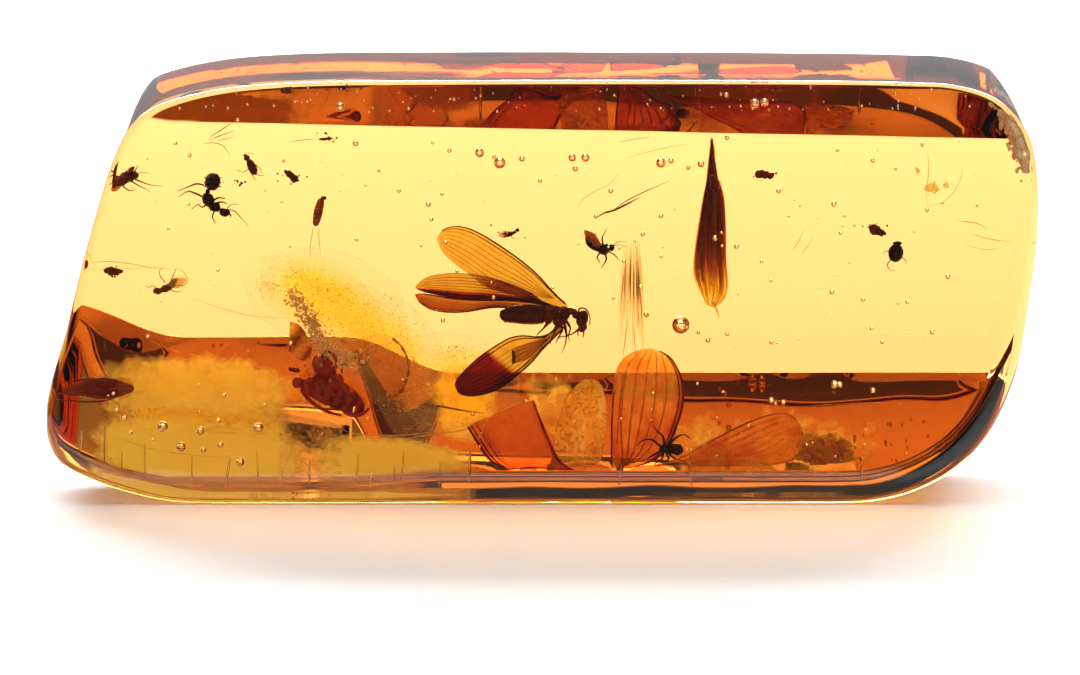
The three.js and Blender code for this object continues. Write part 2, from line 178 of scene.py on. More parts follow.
def centripetal(points, per_span):
    """A centripetal Catmull-Rom curve through the points."""
    pts = [np.array(p, float) for p in points]
    if len(pts) == 2:
        return np.array([pts[0] + (pts[1] - pts[0]) * t for t in np.linspace(0, 1, per_span + 1)])
    pts = [2 * pts[0] - pts[1], *pts, 2 * pts[-1] - pts[-2]]
    out = []
    for p0, p1, p2, p3 in zip(pts, pts[1:], pts[2:], pts[3:]):
        t0 = 0.0
        t1 = t0 + max(np.linalg.norm(p1 - p0), 1e-6) ** 0.5
        t2 = t1 + max(np.linalg.norm(p2 - p1), 1e-6) ** 0.5
        t3 = t2 + max(np.linalg.norm(p3 - p2), 1e-6) ** 0.5
        for t in np.linspace(t1, t2, per_span, endpoint=False):
            a1 = (t1 - t) / (t1 - t0) * p0 + (t - t0) / (t1 - t0) * p1
            a2 = (t2 - t) / (t2 - t1) * p1 + (t - t1) / (t2 - t1) * p2
            a3 = (t3 - t) / (t3 - t2) * p2 + (t - t2) / (t3 - t2) * p3
            b1 = (t2 - t) / (t2 - t0) * a1 + (t - t0) / (t2 - t0) * a2
            b2 = (t3 - t) / (t3 - t1) * a2 + (t - t1) / (t3 - t1) * a3
            out.append((t2 - t) / (t2 - t1) * b1 + (t - t1) / (t2 - t1) * b2)
    out.append(pts[-2])
    return np.array(out)


def evenly(path, count):
    """count points at even steps along a path, both ends included."""
    steps = np.linalg.norm(np.diff(path, axis=0), axis=1)
    length = np.concatenate([[0], np.cumsum(steps)])
    at = np.linspace(0, length[-1], count)
    return np.stack([np.interp(at, length, path[:, k]) for k in range(path.shape[1])], axis=1)


def curve(points, count):
    return evenly(centripetal([tuple(p) for p in points], 10), count)


def smoothstep(x):
    x = np.clip(x, 0, 1)
    return x * x * (3 - 2 * x)


# The clear block


def outline():
    """The outline clockwise from its leftmost point, as many points above as below."""
    round_ = centripetal(OUTLINE, 24)
    round_[:, 1] = np.maximum(round_[:, 1], 0)
    foot = np.linspace(round_[-1], round_[0], 60)[1:-1]
    path = np.concatenate([round_, foot])
    left = int(np.argmin(path[:, 0]))
    path = np.concatenate([path[left:], path[:left], path[left:left + 1]])
    right = int(np.argmax(path[:, 0]))
    upper = evenly(path[:right + 1], HALF + 1)
    lower = evenly(path[right:], HALF + 1)
    return np.concatenate([upper[:-1], lower[:-1]])


def facets(x, z):
    """How far the rear surface lies in front of the flat rear face, and where the two facets start."""
    left = LEFT_MORE
    more = left["start"] * smoothstep((left["from"] - x) / (left["from"] - left["to"]))
    more = more + left["end"] * smoothstep((left["end_from"] - x) / (left["end_from"] - left["end_to"]))
    bottom = BOTTOM_FACET["start"] + more
    top = TOP_FACET["start"] - TOP_FACET["fall"] * x
    cut = np.maximum(0, np.maximum((z - top) * TOP_FACET["slope"], (bottom - z) * BOTTOM_FACET["slope"]))
    return cut, bottom, top


def block():
    points = outline()
    count = len(points)
    run = np.roll(points, -6, 0) - np.roll(points, 6, 0)
    run /= np.linalg.norm(run, axis=1, keepdims=True)
    normal = np.stack([-run[:, 1], run[:, 0]], axis=1)
    along = SPINE_B - SPINE_A
    share = np.clip((points - SPINE_A) @ along / (along @ along), 0, 1)
    spine = SPINE_A + share[:, None] * along
    inward = spine - points
    reach = np.linalg.norm(inward, axis=1)
    inward /= reach[:, None]
    side = normal[:, 0] ** 4
    ends = np.where(normal[:, 1] > 0, FRONT_EDGE["top"], FRONT_EDGE["bottom"])
    edge = FRONT_EDGE["side"] * side + ends * (1 - side)
    rings = []

    def leaned(flat, depth):
        lean = math.tan(LEAN) * flat[:, 1] * (REAR - depth) / (REAR - FRONT)
        return np.stack([flat[:, 0], depth + lean, flat[:, 1]], axis=1)

    def ring(inset, depth):
        flat = points + inward * np.asarray(inset)[:, None]
        rings.append(leaned(flat, np.broadcast_to(depth, count)))

    for k in range(FACE_RINGS):
        f = k / FACE_RINGS
        ring((1 - f) * INNERMOST * reach + f * edge, FRONT)
    for k in range(EDGE_RINGS):
        turn = k / (EDGE_RINGS - 1) * math.pi / 2
        ring(edge * (1 - math.sin(turn)), FRONT + edge * (1 - math.cos(turn)))
    for k in range(REAR_RINGS):
        t = k / (REAR_RINGS - 1)
        inset = np.full(count, t * t * REAR_EDGE)
        flat = points + inward * inset[:, None]
        ring(inset, REAR - facets(flat[:, 0], flat[:, 1])[0] - (1 - t) ** 2 * REAR_EDGE)
    back = len(rings) * count
    verts = [np.concatenate(rings)]

    # The rear surface is made of columns from the lower edge to the upper one,
    # with rows along the facets' starts.
    rim = points + inward * REAR_EDGE
    upper = rim[:HALF + 1]
    lower = rim[(count - np.arange(HALF + 1)) % count]
    reach = np.linalg.norm(upper - lower, axis=1)

    def crossing(which):
        t = np.full(HALF + 1, 0.5)
        for _ in range(8):
            at = lower + (upper - lower) * t[:, None]
            rise = np.where(reach > 0.01, upper[:, 1] - lower[:, 1], 1)
            t = np.clip((facets(at[:, 0], at[:, 1])[which] - lower[:, 1]) / rise, 0, 1)
        return t

    low, high = crossing(1), crossing(2)
    low = np.minimum(low, high)
    soft = CREASE / np.maximum(reach, 0.5)
    cuts = [np.zeros(HALF + 1)]
    for start, end, rows in ((cuts[0], low - soft, FACET_ROWS), (low, low, 1),
                             (low + soft, high - soft, REAR_ROWS), (high, high, 1),
                             (high + soft, np.ones(HALF + 1), FACET_ROWS)):
        for k in range(rows + 1 if rows > 1 else 1):
            cuts.append(np.clip(start + (end - start) * k / max(rows, 1), 0, 1))
    cuts.append(np.ones(HALF + 1))
    cuts = np.maximum.accumulate(np.array(cuts), axis=0)
    for t in cuts:
        flat = lower + (upper - lower) * t[:, None]
        verts.append(leaned(flat, REAR - facets(flat[:, 0], flat[:, 1])[0]))
    verts = np.concatenate(verts)

    # Hand polishing leaves the faces very slightly wavy. The foot stays flat.
    push = np.array([noise.noise(Vector(v) / WAVE_LENGTH) for v in verts]) * WAVE_HEIGHT
    away = (verts - BLOCK_CENTRE) / BLOCK_HALVES ** 2
    away /= np.linalg.norm(away, axis=1, keepdims=True)
    # The top facet was ground by hand too and is the least even.
    above = verts[:, 2] - facets(verts[:, 0], verts[:, 2])[2]
    push *= 1 + TOP_UNEVEN * smoothstep(above / 1.5) * (verts[:, 1] > 2)
    verts = verts + away * (push * (verts[:, 2] > 0.3))[:, None]
    low, high = (np.array(corner) / MM for corner in cad_box)
    verts = np.clip(verts, low, high)

    faces = []
    for r in range(len(rings) - 1):
        for i in range(count):
            j = (i + 1) % count
            faces.append((r * count + i, r * count + j, (r + 1) * count + j, (r + 1) * count + i))
    for i in range(HALF):
        faces.append((i, (count - i) % count, (count - i - 1) % count, (i + 1) % count))
    for r in range(len(cuts) - 1):
        for i in range(HALF):
            a = back + r * (HALF + 1) + i
            faces.append((a, a + HALF + 1, a + HALF + 2, a + 1))
    return welded(verts, faces)


def welded(verts, faces):
    """The same surface with its coincident points made one and its empty faces left out."""
    keys, first, index = {}, [], []
    for k, v in enumerate(verts):
        key = tuple(int(round(c / 0.0005)) for c in v)
        if key not in keys:
            keys[key] = len(first)
            first.append(v)
        index.append(keys[key])
    kept = []
    for face in faces:
        loop = []
        for k in face:
            if index[k] not in loop:
                loop.append(index[k])
        if len(loop) > 2:
            kept.append(tuple(loop))
    return np.array(first), kept


def icosphere(detail):
    shape = bmesh.new()
    bmesh.ops.create_icosphere(shape, subdivisions=detail, radius=1)
    verts = np.array([v.co[:] for v in shape.verts])
    faces = [tuple(v.index for v in f.verts) for f in shape.faces]
    shape.free()
    return verts, faces


SPHERES = {detail: icosphere(detail) for detail in (1, 2, 3, 4)}


def ball(piece, centre, radii, turn=(0, 0, 0), detail=3, rough=0.0, lump=1.0, slot=0, tone=0.5,
         inside_out=False):
    """An ellipsoid with lumps of size lump and height rough. turn is in degrees."""
    verts, faces = SPHERES[detail]
    radii = np.array(radii if hasattr(radii, "__len__") else (radii, radii, radii), float)
    turned = np.array(Euler([math.radians(a) for a in turn]).to_matrix())
    out = verts * radii
    if rough:
        shift = Vector(rng.uniform(-50, 50, 3))
        swell = np.array([noise.fractal(Vector(v) / lump + shift, 0.8, 2.0, 4) for v in out])
        out = out + verts * (swell * rough)[:, None]
    out = out @ turned.T + np.array(centre)
    if inside_out:
        faces = [tuple(reversed(f)) for f in faces]
    piece.add(out, faces, slot, tone)


def tube(piece, points, radii, steps=None, sides=8, slot=0, tone=0.5, flat=1.0):
    """A round limb along a smooth path. radii are spread evenly along it, and flat narrows it in depth."""
    steps = steps or 4 * len(points)
    path = curve(points, steps)
    size = np.interp(np.linspace(0, 1, steps), np.linspace(0, 1, len(radii)), radii)
    along = np.gradient(path, axis=0)
    along /= np.linalg.norm(along, axis=1, keepdims=True)
    across = np.cross(along[0], (0, 1, 0))
    if np.linalg.norm(across) < 0.1:
        across = np.cross(along[0], (1, 0, 0))
    verts = [path[0] - along[0] * size[0] * 0.5]
    turns = np.linspace(0, 2 * math.pi, sides, endpoint=False)
    for k in range(steps):
        across = across - along[k] * across.dot(along[k])
        across /= np.linalg.norm(across)
        deep = np.cross(along[k], across)
        for turn in turns:
            verts.append(path[k] + size[k] * (math.cos(turn) * across + flat * math.sin(turn) * deep))
    verts.append(path[-1] + along[-1] * size[-1] * 0.5)
    faces = []
    last = len(verts) - 1
    for i in range(sides):
        j = (i + 1) % sides
        faces.append((0, 1 + j, 1 + i))
        faces.append((last, last - sides + i, last - sides + j))
        for k in range(steps - 1):
            a = 1 + k * sides
            faces.append((a + i, a + j, a + sides + j, a + sides + i))
    if not np.isscalar(tone):
        rings = np.interp(np.linspace(0, 1, steps), np.linspace(0, 1, len(tone)), tone)
        tone = [tone[0], *np.repeat(rings, sides), tone[-1]]
    piece.add(verts, faces, slot, tone)


def sheet(piece, upper, lower, depth=None, thick=0.04, steps=(40, 14), slot=0, tone=None, crumple=0.0,
          lump=0.8):
    """A thin skin between an upper and a lower edge, closed along its rim.

    Gives a function of its middle surface.
    """
    wide, high = steps
    top = curve(upper, wide + 1)
    bottom = curve(lower, wide + 1)
    shift = Vector(rng.uniform(-50, 50, 3))

    def middle(u, v):
        a = np.array([np.interp(u * wide, range(wide + 1), top[:, k]) for k in range(3)])
        b = np.array([np.interp(u * wide, range(wide + 1), bottom[:, k]) for k in range(3)])
        p = a * (1 - v) + b * v
        if depth:
            p[1] += depth(u, v)
        if crumple:
            p[1] += crumple * noise.fractal(Vector(p) / lump + shift, 0.9, 2.0, 3)
        return p

    verts = []
    tones = []
    for side in (-0.5, 0.5):
        for i in range(wide + 1):
            for j in range(high + 1):
                u, v = i / wide, j / high
                p = middle(u, v)
                rim = min(1.0, 6 * min(u, v, 1 - u, 1 - v))
                p[1] += side * thick * math.sqrt(max(rim, 0))
                verts.append(p)
                tones.append(tone(u, v) if tone else 0.5)
    faces = []
    layer_size = (wide + 1) * (high + 1)
    for base, flip in ((0, False), (layer_size, True)):
        for i in range(wide):
            for j in range(high):
                a = base + i * (high + 1) + j
                quad = (a, a + 1, a + high + 2, a + high + 1)
                faces.append(quad[::-1] if flip else quad)
    piece.add(verts, faces, slot, tones)
    return middle


def vein(piece, middle, route, radii, slot=1, tone=0.5, steps=16):
    """A raised vein on a sheet along a route of (u, v)."""
    tube(piece, [middle(u, v) for u, v in route], radii, steps=steps, sides=5, slot=slot, tone=tone)


# Materials


def graph(name):
    material = bpy.data.materials.new(name)
    material.use_nodes = True
    nodes, links = material.node_tree.nodes, material.node_tree.links
    return material, nodes, links, nodes["Principled BSDF"]


def speckle(nodes, links, size, detail=6.0, rough=0.6):
    """Noise with grains of this size in mm."""
    grain = nodes.new("ShaderNodeTexNoise")
    grain.inputs["Scale"].default_value = 1 / (size * MM)
    grain.inputs["Detail"].default_value = detail
    grain.inputs["Roughness"].default_value = rough
    links.new(nodes.new("ShaderNodeTexCoord").outputs["Object"], grain.inputs["Vector"])
    return grain.outputs["Fac"]


def shade(nodes, links, size, spread, colours):
    """A colour ramp read by the piece's tone, made uneven by noise. colours run from tone 0 to 1."""
    tone = nodes.new("ShaderNodeAttribute")
    tone.attribute_name = "tone"
    mix = nodes.new("ShaderNodeMath")
    mix.operation = "MULTIPLY_ADD"
    links.new(speckle(nodes, links, size), mix.inputs[0])
    mix.inputs[1].default_value = spread
    shift = nodes.new("ShaderNodeMath")
    shift.operation = "SUBTRACT"
    links.new(tone.outputs["Fac"], shift.inputs[0])
    shift.inputs[1].default_value = spread / 2
    links.new(shift.outputs[0], mix.inputs[2])
    ramp = nodes.new("ShaderNodeValToRGB")
    stops = ramp.color_ramp.elements
    for k, colour in enumerate(colours):
        at = k / (len(colours) - 1)
        stop = stops[k] if k < 2 else stops.new(at)
        stop.position = at
        stop.color = (*colour, 1)
    links.new(mix.outputs[0], ramp.inputs[0])
    return ramp.outputs["Color"], mix.outputs[0]


def skin(name, colours, size=0.4, spread=0.8, roughness=0.35, bump=0.01, coat=0.0):
    """A solid surface: insects' shells, husks, bark. bump is the height of its relief in mm."""
    material, nodes, links, shader = graph(name)
    colour, _ = shade(nodes, links, size, spread, colours)
    links.new(colour, shader.inputs["Base Color"])
    shader.inputs["Roughness"].default_value = roughness
    shader.inputs["IOR"].default_value = SEALED_IOR
    shader.inputs["Coat Weight"].default_value = coat
    relief = nodes.new("ShaderNodeBump")
    relief.inputs["Distance"].default_value = bump * MM
    links.new(speckle(nodes, links, size / 5), relief.inputs["Height"])
    links.new(relief.outputs[0], shader.inputs["Normal"])
    return material


def film(name, colours, size=1.0, spread=0.5, cover=0.1, roughness=0.35, patchy=False, back=0.0):
    """A see-through skin whose colours tint what is behind it. patchy lets its tone say how much it covers.

    back is the share of what covers that passes on light from behind.
    """
    material, nodes, links, shader = graph(name)
    colour, level = shade(nodes, links, size, spread, colours)
    clear = nodes.new("ShaderNodeBsdfTransparent")
    mix = nodes.new("ShaderNodeMixShader")
    shader.inputs["Roughness"].default_value = roughness
    shader.inputs["IOR"].default_value = SEALED_IOR
    links.new(colour, shader.inputs["Base Color"])
    if patchy:
        fade = nodes.new("ShaderNodeMapRange")
        fade.interpolation_type = "SMOOTHSTEP"
        links.new(level, fade.inputs["Value"])
        for key, value in (("From Min", 0.3), ("From Max", 0.9), ("To Min", 0.0), ("To Max", cover)):
            fade.inputs[key].default_value = value
        links.new(fade.outputs[0], mix.inputs[0])
    else:
        mix.inputs[0].default_value = cover
        links.new(colour, clear.inputs["Color"])
    links.new(clear.outputs[0], mix.inputs[1])
    cover_shader = shader
    if back:
        behind = nodes.new("ShaderNodeBsdfTranslucent")
        links.new(colour, behind.inputs["Color"])
        cover_shader = nodes.new("ShaderNodeMixShader")
        cover_shader.inputs[0].default_value = back
        links.new(shader.outputs[0], cover_shader.inputs[1])
        links.new(behind.outputs[0], cover_shader.inputs[2])
    links.new(cover_shader.outputs[0], mix.inputs[2])
    links.new(mix.outputs[0], nodes["Material Output"].inputs["Surface"])
    return material


MATERIALS = {
    "body": skin("termite_body", [(0.02, 0.004, 0.001), (0.1, 0.02, 0.005), (0.42, 0.1, 0.02)], 0.35, 0.5,
                 0.22, 0.008, 0.5),
    "wing": film("termite_wing", [(0.87, 0.76, 0.32), (0.74, 0.6, 0.2), (0.64, 0.36, 0.1), (0.42, 0.1, 0.03),
                                  (0.3, 0.05, 0.02)],
                 1.2, 0.25, 0.06),
    "vein": film("termite_vein", [(0.5, 0.16, 0.04), (0.3, 0.07, 0.02), (0.12, 0.02, 0.01)], 0.6, 0.3, 0.5),
    "dark": skin("dark_shell", [(0.004, 0.003, 0.002), (0.02, 0.01, 0.004), (0.12, 0.04, 0.01)], 0.2, 0.5,
                 0.3, 0.006, 0.3),
    "brown": skin("brown_shell", [(0.03, 0.006, 0.002), (0.16, 0.035, 0.006), (0.5, 0.18, 0.03)], 0.3, 0.8,
                  0.25, 0.01, 0.5),
    "amber_bit": film("brown_haze", [(0.98, 0.9, 0.6), (0.75, 0.4, 0.1), (0.4, 0.12, 0.02)], 0.3, 0.4, 0.3),
}


# The termite


def at_depth(y):
    return lambda across, down, dy=0.0: seen(across, down, y + dy)


def wing(piece, spot, upper, lower, depth, tone, veins, edge, thick=0.035):
    """A wing between two edges from root to tip, with its edge veins and its fan of fine veins."""
    middle = sheet(piece, [spot(*p) for p in upper], [spot(*p) for p in lower], depth, thick, (48, 16), 1,
                   tone)
    for v, start, end, size in veins:
        route = [(u, 0.5 + (v - 0.5) * smoothstep((u + 0.15) / 0.6)) for u in np.linspace(start, end, 12)]
        vein(piece, middle, route, (size * 1.5, size, size * 0.6), slot=2)
    for v, size in edge:
        vein(piece, middle, [(u, v) for u in np.linspace(0.02, 0.94, 14)],
             (size, size, size * 0.9, size * 0.5), 2, 0.9, 26)
    return middle


def termite():
    spot = at_depth(layer(0.7))
    piece = Piece()
    # Abdomen of ten rings, from its tip to the waist.
    rings = 10
    stations = 61
    t = np.linspace(0, 1, stations)
    size = 0.56 * np.sin(np.pi * (0.1 + 0.62 * t)) ** 0.75 * (1 + 0.05 * np.abs(np.sin(np.pi * rings * t)))
    size[0] *= 0.5
    tube(piece, [spot(500, 313.5), spot(508, 312.5), spot(522, 312), spot(535, 312.5), spot(544, 312.5)],
         size, stations, 22, tone=0.16 + 0.1 * np.abs(np.sin(np.pi * rings * t)), flat=0.92)
    for k in range(8):
        across = 506 + 4.4 * k
        ball(piece, spot(across, 320.6 - 1.6 * abs(k - 4.5) / 4, -0.12), (0.16, 0.3, 0.09), detail=2,
             tone=0.95)
    # Thorax: three humps, plates between them and the hips below.
    ball(piece, spot(547, 311.5), (0.42, 0.46, 0.46), (0, -6, 0), rough=0.04, lump=0.3, tone=0.4)
    ball(piece, spot(555, 310.8), (0.46, 0.48, 0.46), (0, -6, 0), rough=0.04, lump=0.3, tone=0.45)
    ball(piece, spot(563.5, 311), (0.36, 0.42, 0.42), (0, -4, 0), rough=0.04, lump=0.3, tone=0.4)
    for across, down, dy in ((548, 318, -0.22), (556, 319, -0.24), (563, 318.5, -0.22), (549, 318, 0.22),
                             (557, 319, 0.24), (564, 318, 0.22)):
        ball(piece, spot(across, down, dy), (0.2, 0.15, 0.24), (0, 20, 0), detail=2, tone=0.55)
    for across, dy in ((551, -0.3), (560, -0.28), (551, 0.3), (560, 0.28)):
        ball(piece, spot(across, 307.5, dy), (0.26, 0.12, 0.14), (0, -10, 0), detail=2, tone=0.6)
    # The saddle-shaped pronotum and the neck.
    ball(piece, spot(572, 308.8), (0.3, 0.44, 0.22), (0, 24, 0), rough=0.03, lump=0.3, tone=0.55)
    ball(piece, spot(575.5, 312.5), (0.22, 0.22, 0.24), detail=2, tone=0.35)
    # Head, face shield, jaws, eyes and palps.
    ball(piece, spot(582, 316.5), (0.34, 0.38, 0.5), (0, 14, 0), tone=0.45)
    ball(piece, spot(582.5, 324.5), (0.26, 0.3, 0.24), (0, 14, 0), tone=0.6)
    ball(piece, spot(581.5, 328), (0.2, 0.24, 0.12), (0, 10, 0), detail=2, tone=0.3)
    for dy in (-0.34, 0.34):
        ball(piece, spot(583.5, 315, dy), (0.13, 0.07, 0.15), detail=3, tone=0.0)
        tube(piece, [spot(579, 327, dy * 0.5), spot(577.5, 331, dy * 0.7), spot(578.5, 333.5, dy * 0.7)],
             (0.035, 0.04, 0.025), tone=0.7)
        tube(piece, [spot(583, 328.5, dy * 0.5), spot(583.5, 332, dy * 0.6), spot(582.5, 335, dy * 0.6)],
             (0.035, 0.04, 0.025), tone=0.7)
    # Antennae: strings of beads.
    for points, beads in (
        ([(578, 310.5, -0.3), (579.5, 306.5, -0.45), (584, 306.3, -0.5), (588, 310, -0.5),
          (589.8, 316, -0.45), (589.3, 322, -0.4)], 20),
        ([(579, 326, 0.3), (574, 330.5, 0.4), (567, 333.3, 0.5), (559, 335, 0.6)], 20),
    ):
        path = curve([spot(*p) for p in points], beads)
        tube(piece, path, (0.03, 0.022), steps=beads * 2, sides=6, tone=0.4)
        for k, bead in enumerate(path[1:]):
            ball(piece, bead, 0.058 - 0.0012 * k, detail=2, tone=0.5)
    # Legs: thigh, shin and jointed foot.
    for hip, knee, ankle, toe, fat in (
        ((564, 319, -0.2), (566.5, 333, -0.5), (565.5, 341, -0.6), (562.5, 349.5, -0.6), 0.095),
        ((561.5, 319, -0.2), (553.5, 328, -0.5), (545, 335, -0.4), (540.5, 337.5, -0.4), 0.11),
        ((557, 319, 0.2), (555, 330, 0.3), (551.5, 336.5, 0.4), (550.5, 341, 0.4), 0.1),
        ((550, 318, -0.2), (544, 325.5, -0.45), (538.5, 331, -0.4), (537, 333, -0.4), 0.1),
        ((566, 318, 0.2), (570.5, 326, 0.5), (568, 334, 0.6), (569.5, 338, 0.6), 0.09),
        ((560, 319, 0.2), (562.5, 328, 0.45), (557.5, 337, 0.5), (556, 340, 0.5), 0.1),
    ):
        a, b, c, d = (spot(*p) for p in (hip, knee, ankle, toe))
        tube(piece, [a, (a + b) / 2, b], (fat * 0.7, fat, fat * 0.55), 10, tone=0.5)
        tube(piece, [b, (b + c) / 2, c], (fat * 0.5, fat * 0.42, fat * 0.4), 10, tone=0.4)
        tube(piece, [c, (c + d) / 2, d], (fat * 0.36, fat * 0.3, fat * 0.2), 8, tone=0.4)
        for side in (-0.05, 0.05):
            tube(piece, [d, d + Vector((side, 0, -0.07))], (0.014, 0.006), 3, 5, tone=0.2)
        for k in range(5):
            p = b.lerp(c, (k + 1) / 6)
            tube(piece, [p, p + Vector(((-1) ** k * 0.1, 0, -0.04))], (0.01, 0.004), 3, 4, tone=0.4)

    fan = [
        (0.18, 0.1, 0.9, 0.012), (0.3, 0.12, 0.93, 0.012), (0.42, 0.12, 0.95, 0.013),
        (0.54, 0.14, 0.95, 0.014), (0.66, 0.14, 0.93, 0.014), (0.77, 0.16, 0.9, 0.014),
        (0.87, 0.2, 0.84, 0.013), (0.94, 0.26, 0.7, 0.012),
    ]
    wing(piece, spot,
         [(568, 303), (558, 294.5), (539, 273), (520, 256.5), (494.6, 238.8), (471.8, 226), (456.6, 222.6),
          (444, 225.5), (437, 234.5)],
         [(566, 307), (539, 299.5), (507, 290.7), (484.5, 283), (471.8, 273), (463, 266.6), (450.3, 256.5),
          (441.4, 246.4), (437, 234.5)],
         lambda u, v: -0.3 - 0.5 * u - 0.15 * math.sin(math.pi * v) + 0.04 * math.sin(9 * v),
         lambda u, v: 0.06 + 0.12 * v * (1 - u) + (0.28 if v > 0.9 and u < 0.55 else 0),
         fan, [(0.01, 0.05), (0.085, 0.03)])
    wing(piece, spot,
         [(566, 306), (543, 299.5), (532.6, 292), (517, 284.4), (490, 275.5), (471.8, 272.5), (459, 271.7),
          (444, 272.3), (428.8, 275.5), (418.7, 281.8), (415.5, 286.3)],
         [(566, 309), (545, 303), (532.6, 300.8), (507, 298.2), (482, 297.6), (456.6, 296.4), (431, 292),
          (418.7, 288.8), (415.5, 286.3)],
         lambda u, v: 0.05 + 0.35 * u + 0.35 * (v - 0.5) * math.sin(math.pi * u),
         lambda u, v: (0.2 + 0.75 * smoothstep((v - 0.66) / 0.24)
                       + 0.5 * (1 - v) * smoothstep((0.62 - u) / 0.2)),
         [(v, start, end, 0.016) for v, start, end, _ in fan[:7]], [(0.99, 0.06), (0.9, 0.05), (0.01, 0.02)])
    wing(piece, spot,
         [(562, 309), (532.6, 301.5), (507, 299.5), (482, 299.3), (456.6, 298), (431, 294), (420, 292.8),
          (415, 293.8)],
         [(562, 313), (530, 309.5), (500, 306), (488, 307), (469.3, 310.6), (450, 312), (431, 309.4),
          (420, 303.3), (415, 293.8)],
         lambda u, v: 0.45 + 0.4 * u - 0.2 * (v - 0.5) * math.sin(math.pi * u),
         lambda u, v: 0.42 + 0.3 * smoothstep((0.12 - v) / 0.12) + 0.2 * u * v,
         fan[1:7], [(0.99, 0.045), (0.86, 0.022), (0.02, 0.05)])
    wing(piece, spot,
         [(562, 322), (552, 329), (539, 334), (530, 332.5), (517.4, 332.5), (507, 335.3), (494.6, 342.6),
          (482, 350.5), (469, 361.6), (456.6, 375), (454.7, 381)],
         [(564, 325), (558, 331), (542.7, 346.4), (532.6, 359), (520, 370.4), (507, 380.6), (494.6, 387.5),
          (482, 391.2), (469, 392.2), (459, 389), (454.7, 381)],
         lambda u, v: -0.25 - 0.7 * u - 0.25 * math.sin(math.pi * v) * math.sin(math.pi * u),
         lambda u, v: (0.12 + 0.7 * smoothstep((u - 0.52 + 0.16 * (v - 0.5)) / 0.06)
                       + 0.3 * smoothstep((v - 0.84) / 0.1)),
         fan[1:7], [(0.01, 0.045), (0.1, 0.035), (0.97, 0.05), (0.88, 0.035)])
    # The hind edge of the last wing lies folded over itself near its root.
    sheet(piece, [spot(*p, -0.75) for p in ((562, 321), (550, 333), (536, 338), (527, 341), (512, 347))],
          [spot(*p, -0.75) for p in ((564, 326), (552, 338), (541, 346), (528, 357), (512, 362))],
          None, 0.03, (24, 8), 1, lambda u, v: 0.3, 0.1, 1.2)
    return piece


termite().make("termite_fine", [MATERIALS[key] for key in ("body", "wing", "vein")], "termite", ("termite",))


# The other small animals. Each row of limbs is a list of points, a list of radii and a tone.


def limbs(piece, spot, rows, steps=14):
    for points, radii, tone in rows:
        tube(piece, [spot(*p) for p in points], radii, steps, 7, tone=tone)


def hair(piece, spot, points, size=0.02, tone=0.6, slot=0, steps=14):
    tube(piece, [spot(*p) for p in points], (size * 0.8, size, size * 0.3), steps, 5, slot, tone)


def ant():
    piece = Piece()
    spot = at_depth(layer(-18.1))
    ball(piece, spot(214.4, 180.4), (0.44, 0.42, 0.5), (0, 15, 0), 4, 0.03, 0.3, tone=0.15)
    for down in (176.5, 181.5, 185.5):
        tube(piece,
             [spot(214.4 + 8.2 * math.cos(a), down, 0.5 * math.sin(a))
              for a in np.linspace(0, 2 * math.pi, 13)],
             (0.035, 0.035), 26, 6, tone=0.5)
    ball(piece, spot(209.5, 190.2), (0.14, 0.14, 0.16), detail=2, tone=0.3)
    ball(piece, spot(209.8, 198.5), (0.33, 0.3, 0.42), (0, -30, 0), 3, 0.06, 0.25, tone=0.2)
    ball(piece, spot(216.5, 205), (0.34, 0.3, 0.3), (0, 30, 0), 3, 0.06, 0.25, tone=0.25)
    ball(piece, spot(226, 210.8), (0.3, 0.27, 0.25), (0, 10, 0), 3, 0.04, 0.2, tone=0.3)
    for side in (-0.2, 0.2):
        ball(piece, spot(227, 208.5, side), 0.08, detail=2, tone=0.0)
        tube(piece, [spot(230, 212, side), spot(232.5, 214, side * 0.6), spot(231.5, 216, 0)],
             (0.05, 0.04, 0.015), tone=0.6)
    limbs(piece, spot, (
        ([(208, 197, -0.1), (197, 192, -0.3), (190, 190, -0.3), (180, 196, -0.2)],
         (0.05, 0.06, 0.035, 0.02), 0.7),
        ([(206, 184, -0.2), (199, 182.5, -0.3), (189, 186, -0.3), (179, 190, -0.2)],
         (0.045, 0.05, 0.03, 0.02), 0.6),
        ([(214, 200, -0.2), (220, 196.5, -0.35), (227, 197, -0.3)], (0.06, 0.05, 0.03), 0.5),
        ([(216, 203, -0.2), (222, 200.5, -0.35), (229, 202, -0.3)], (0.06, 0.05, 0.03), 0.5),
        ([(209, 201, 0.1), (204, 206, 0.3), (200, 203, 0.3), (193, 208, 0.3)],
         (0.05, 0.045, 0.03, 0.02), 0.5),
        ([(217, 208, 0.1), (214, 215, 0.3), (217, 222, 0.4)], (0.05, 0.04, 0.02), 0.5),
        ([(228, 208, -0.1), (236, 209.5, -0.3), (243, 217, -0.3), (250, 224, -0.2)],
         (0.03, 0.03, 0.02, 0.012), 0.7),
        ([(228, 208, 0.1), (233, 203, 0.3), (240, 203, 0.4)], (0.03, 0.025, 0.012), 0.7),
    ))
    return piece


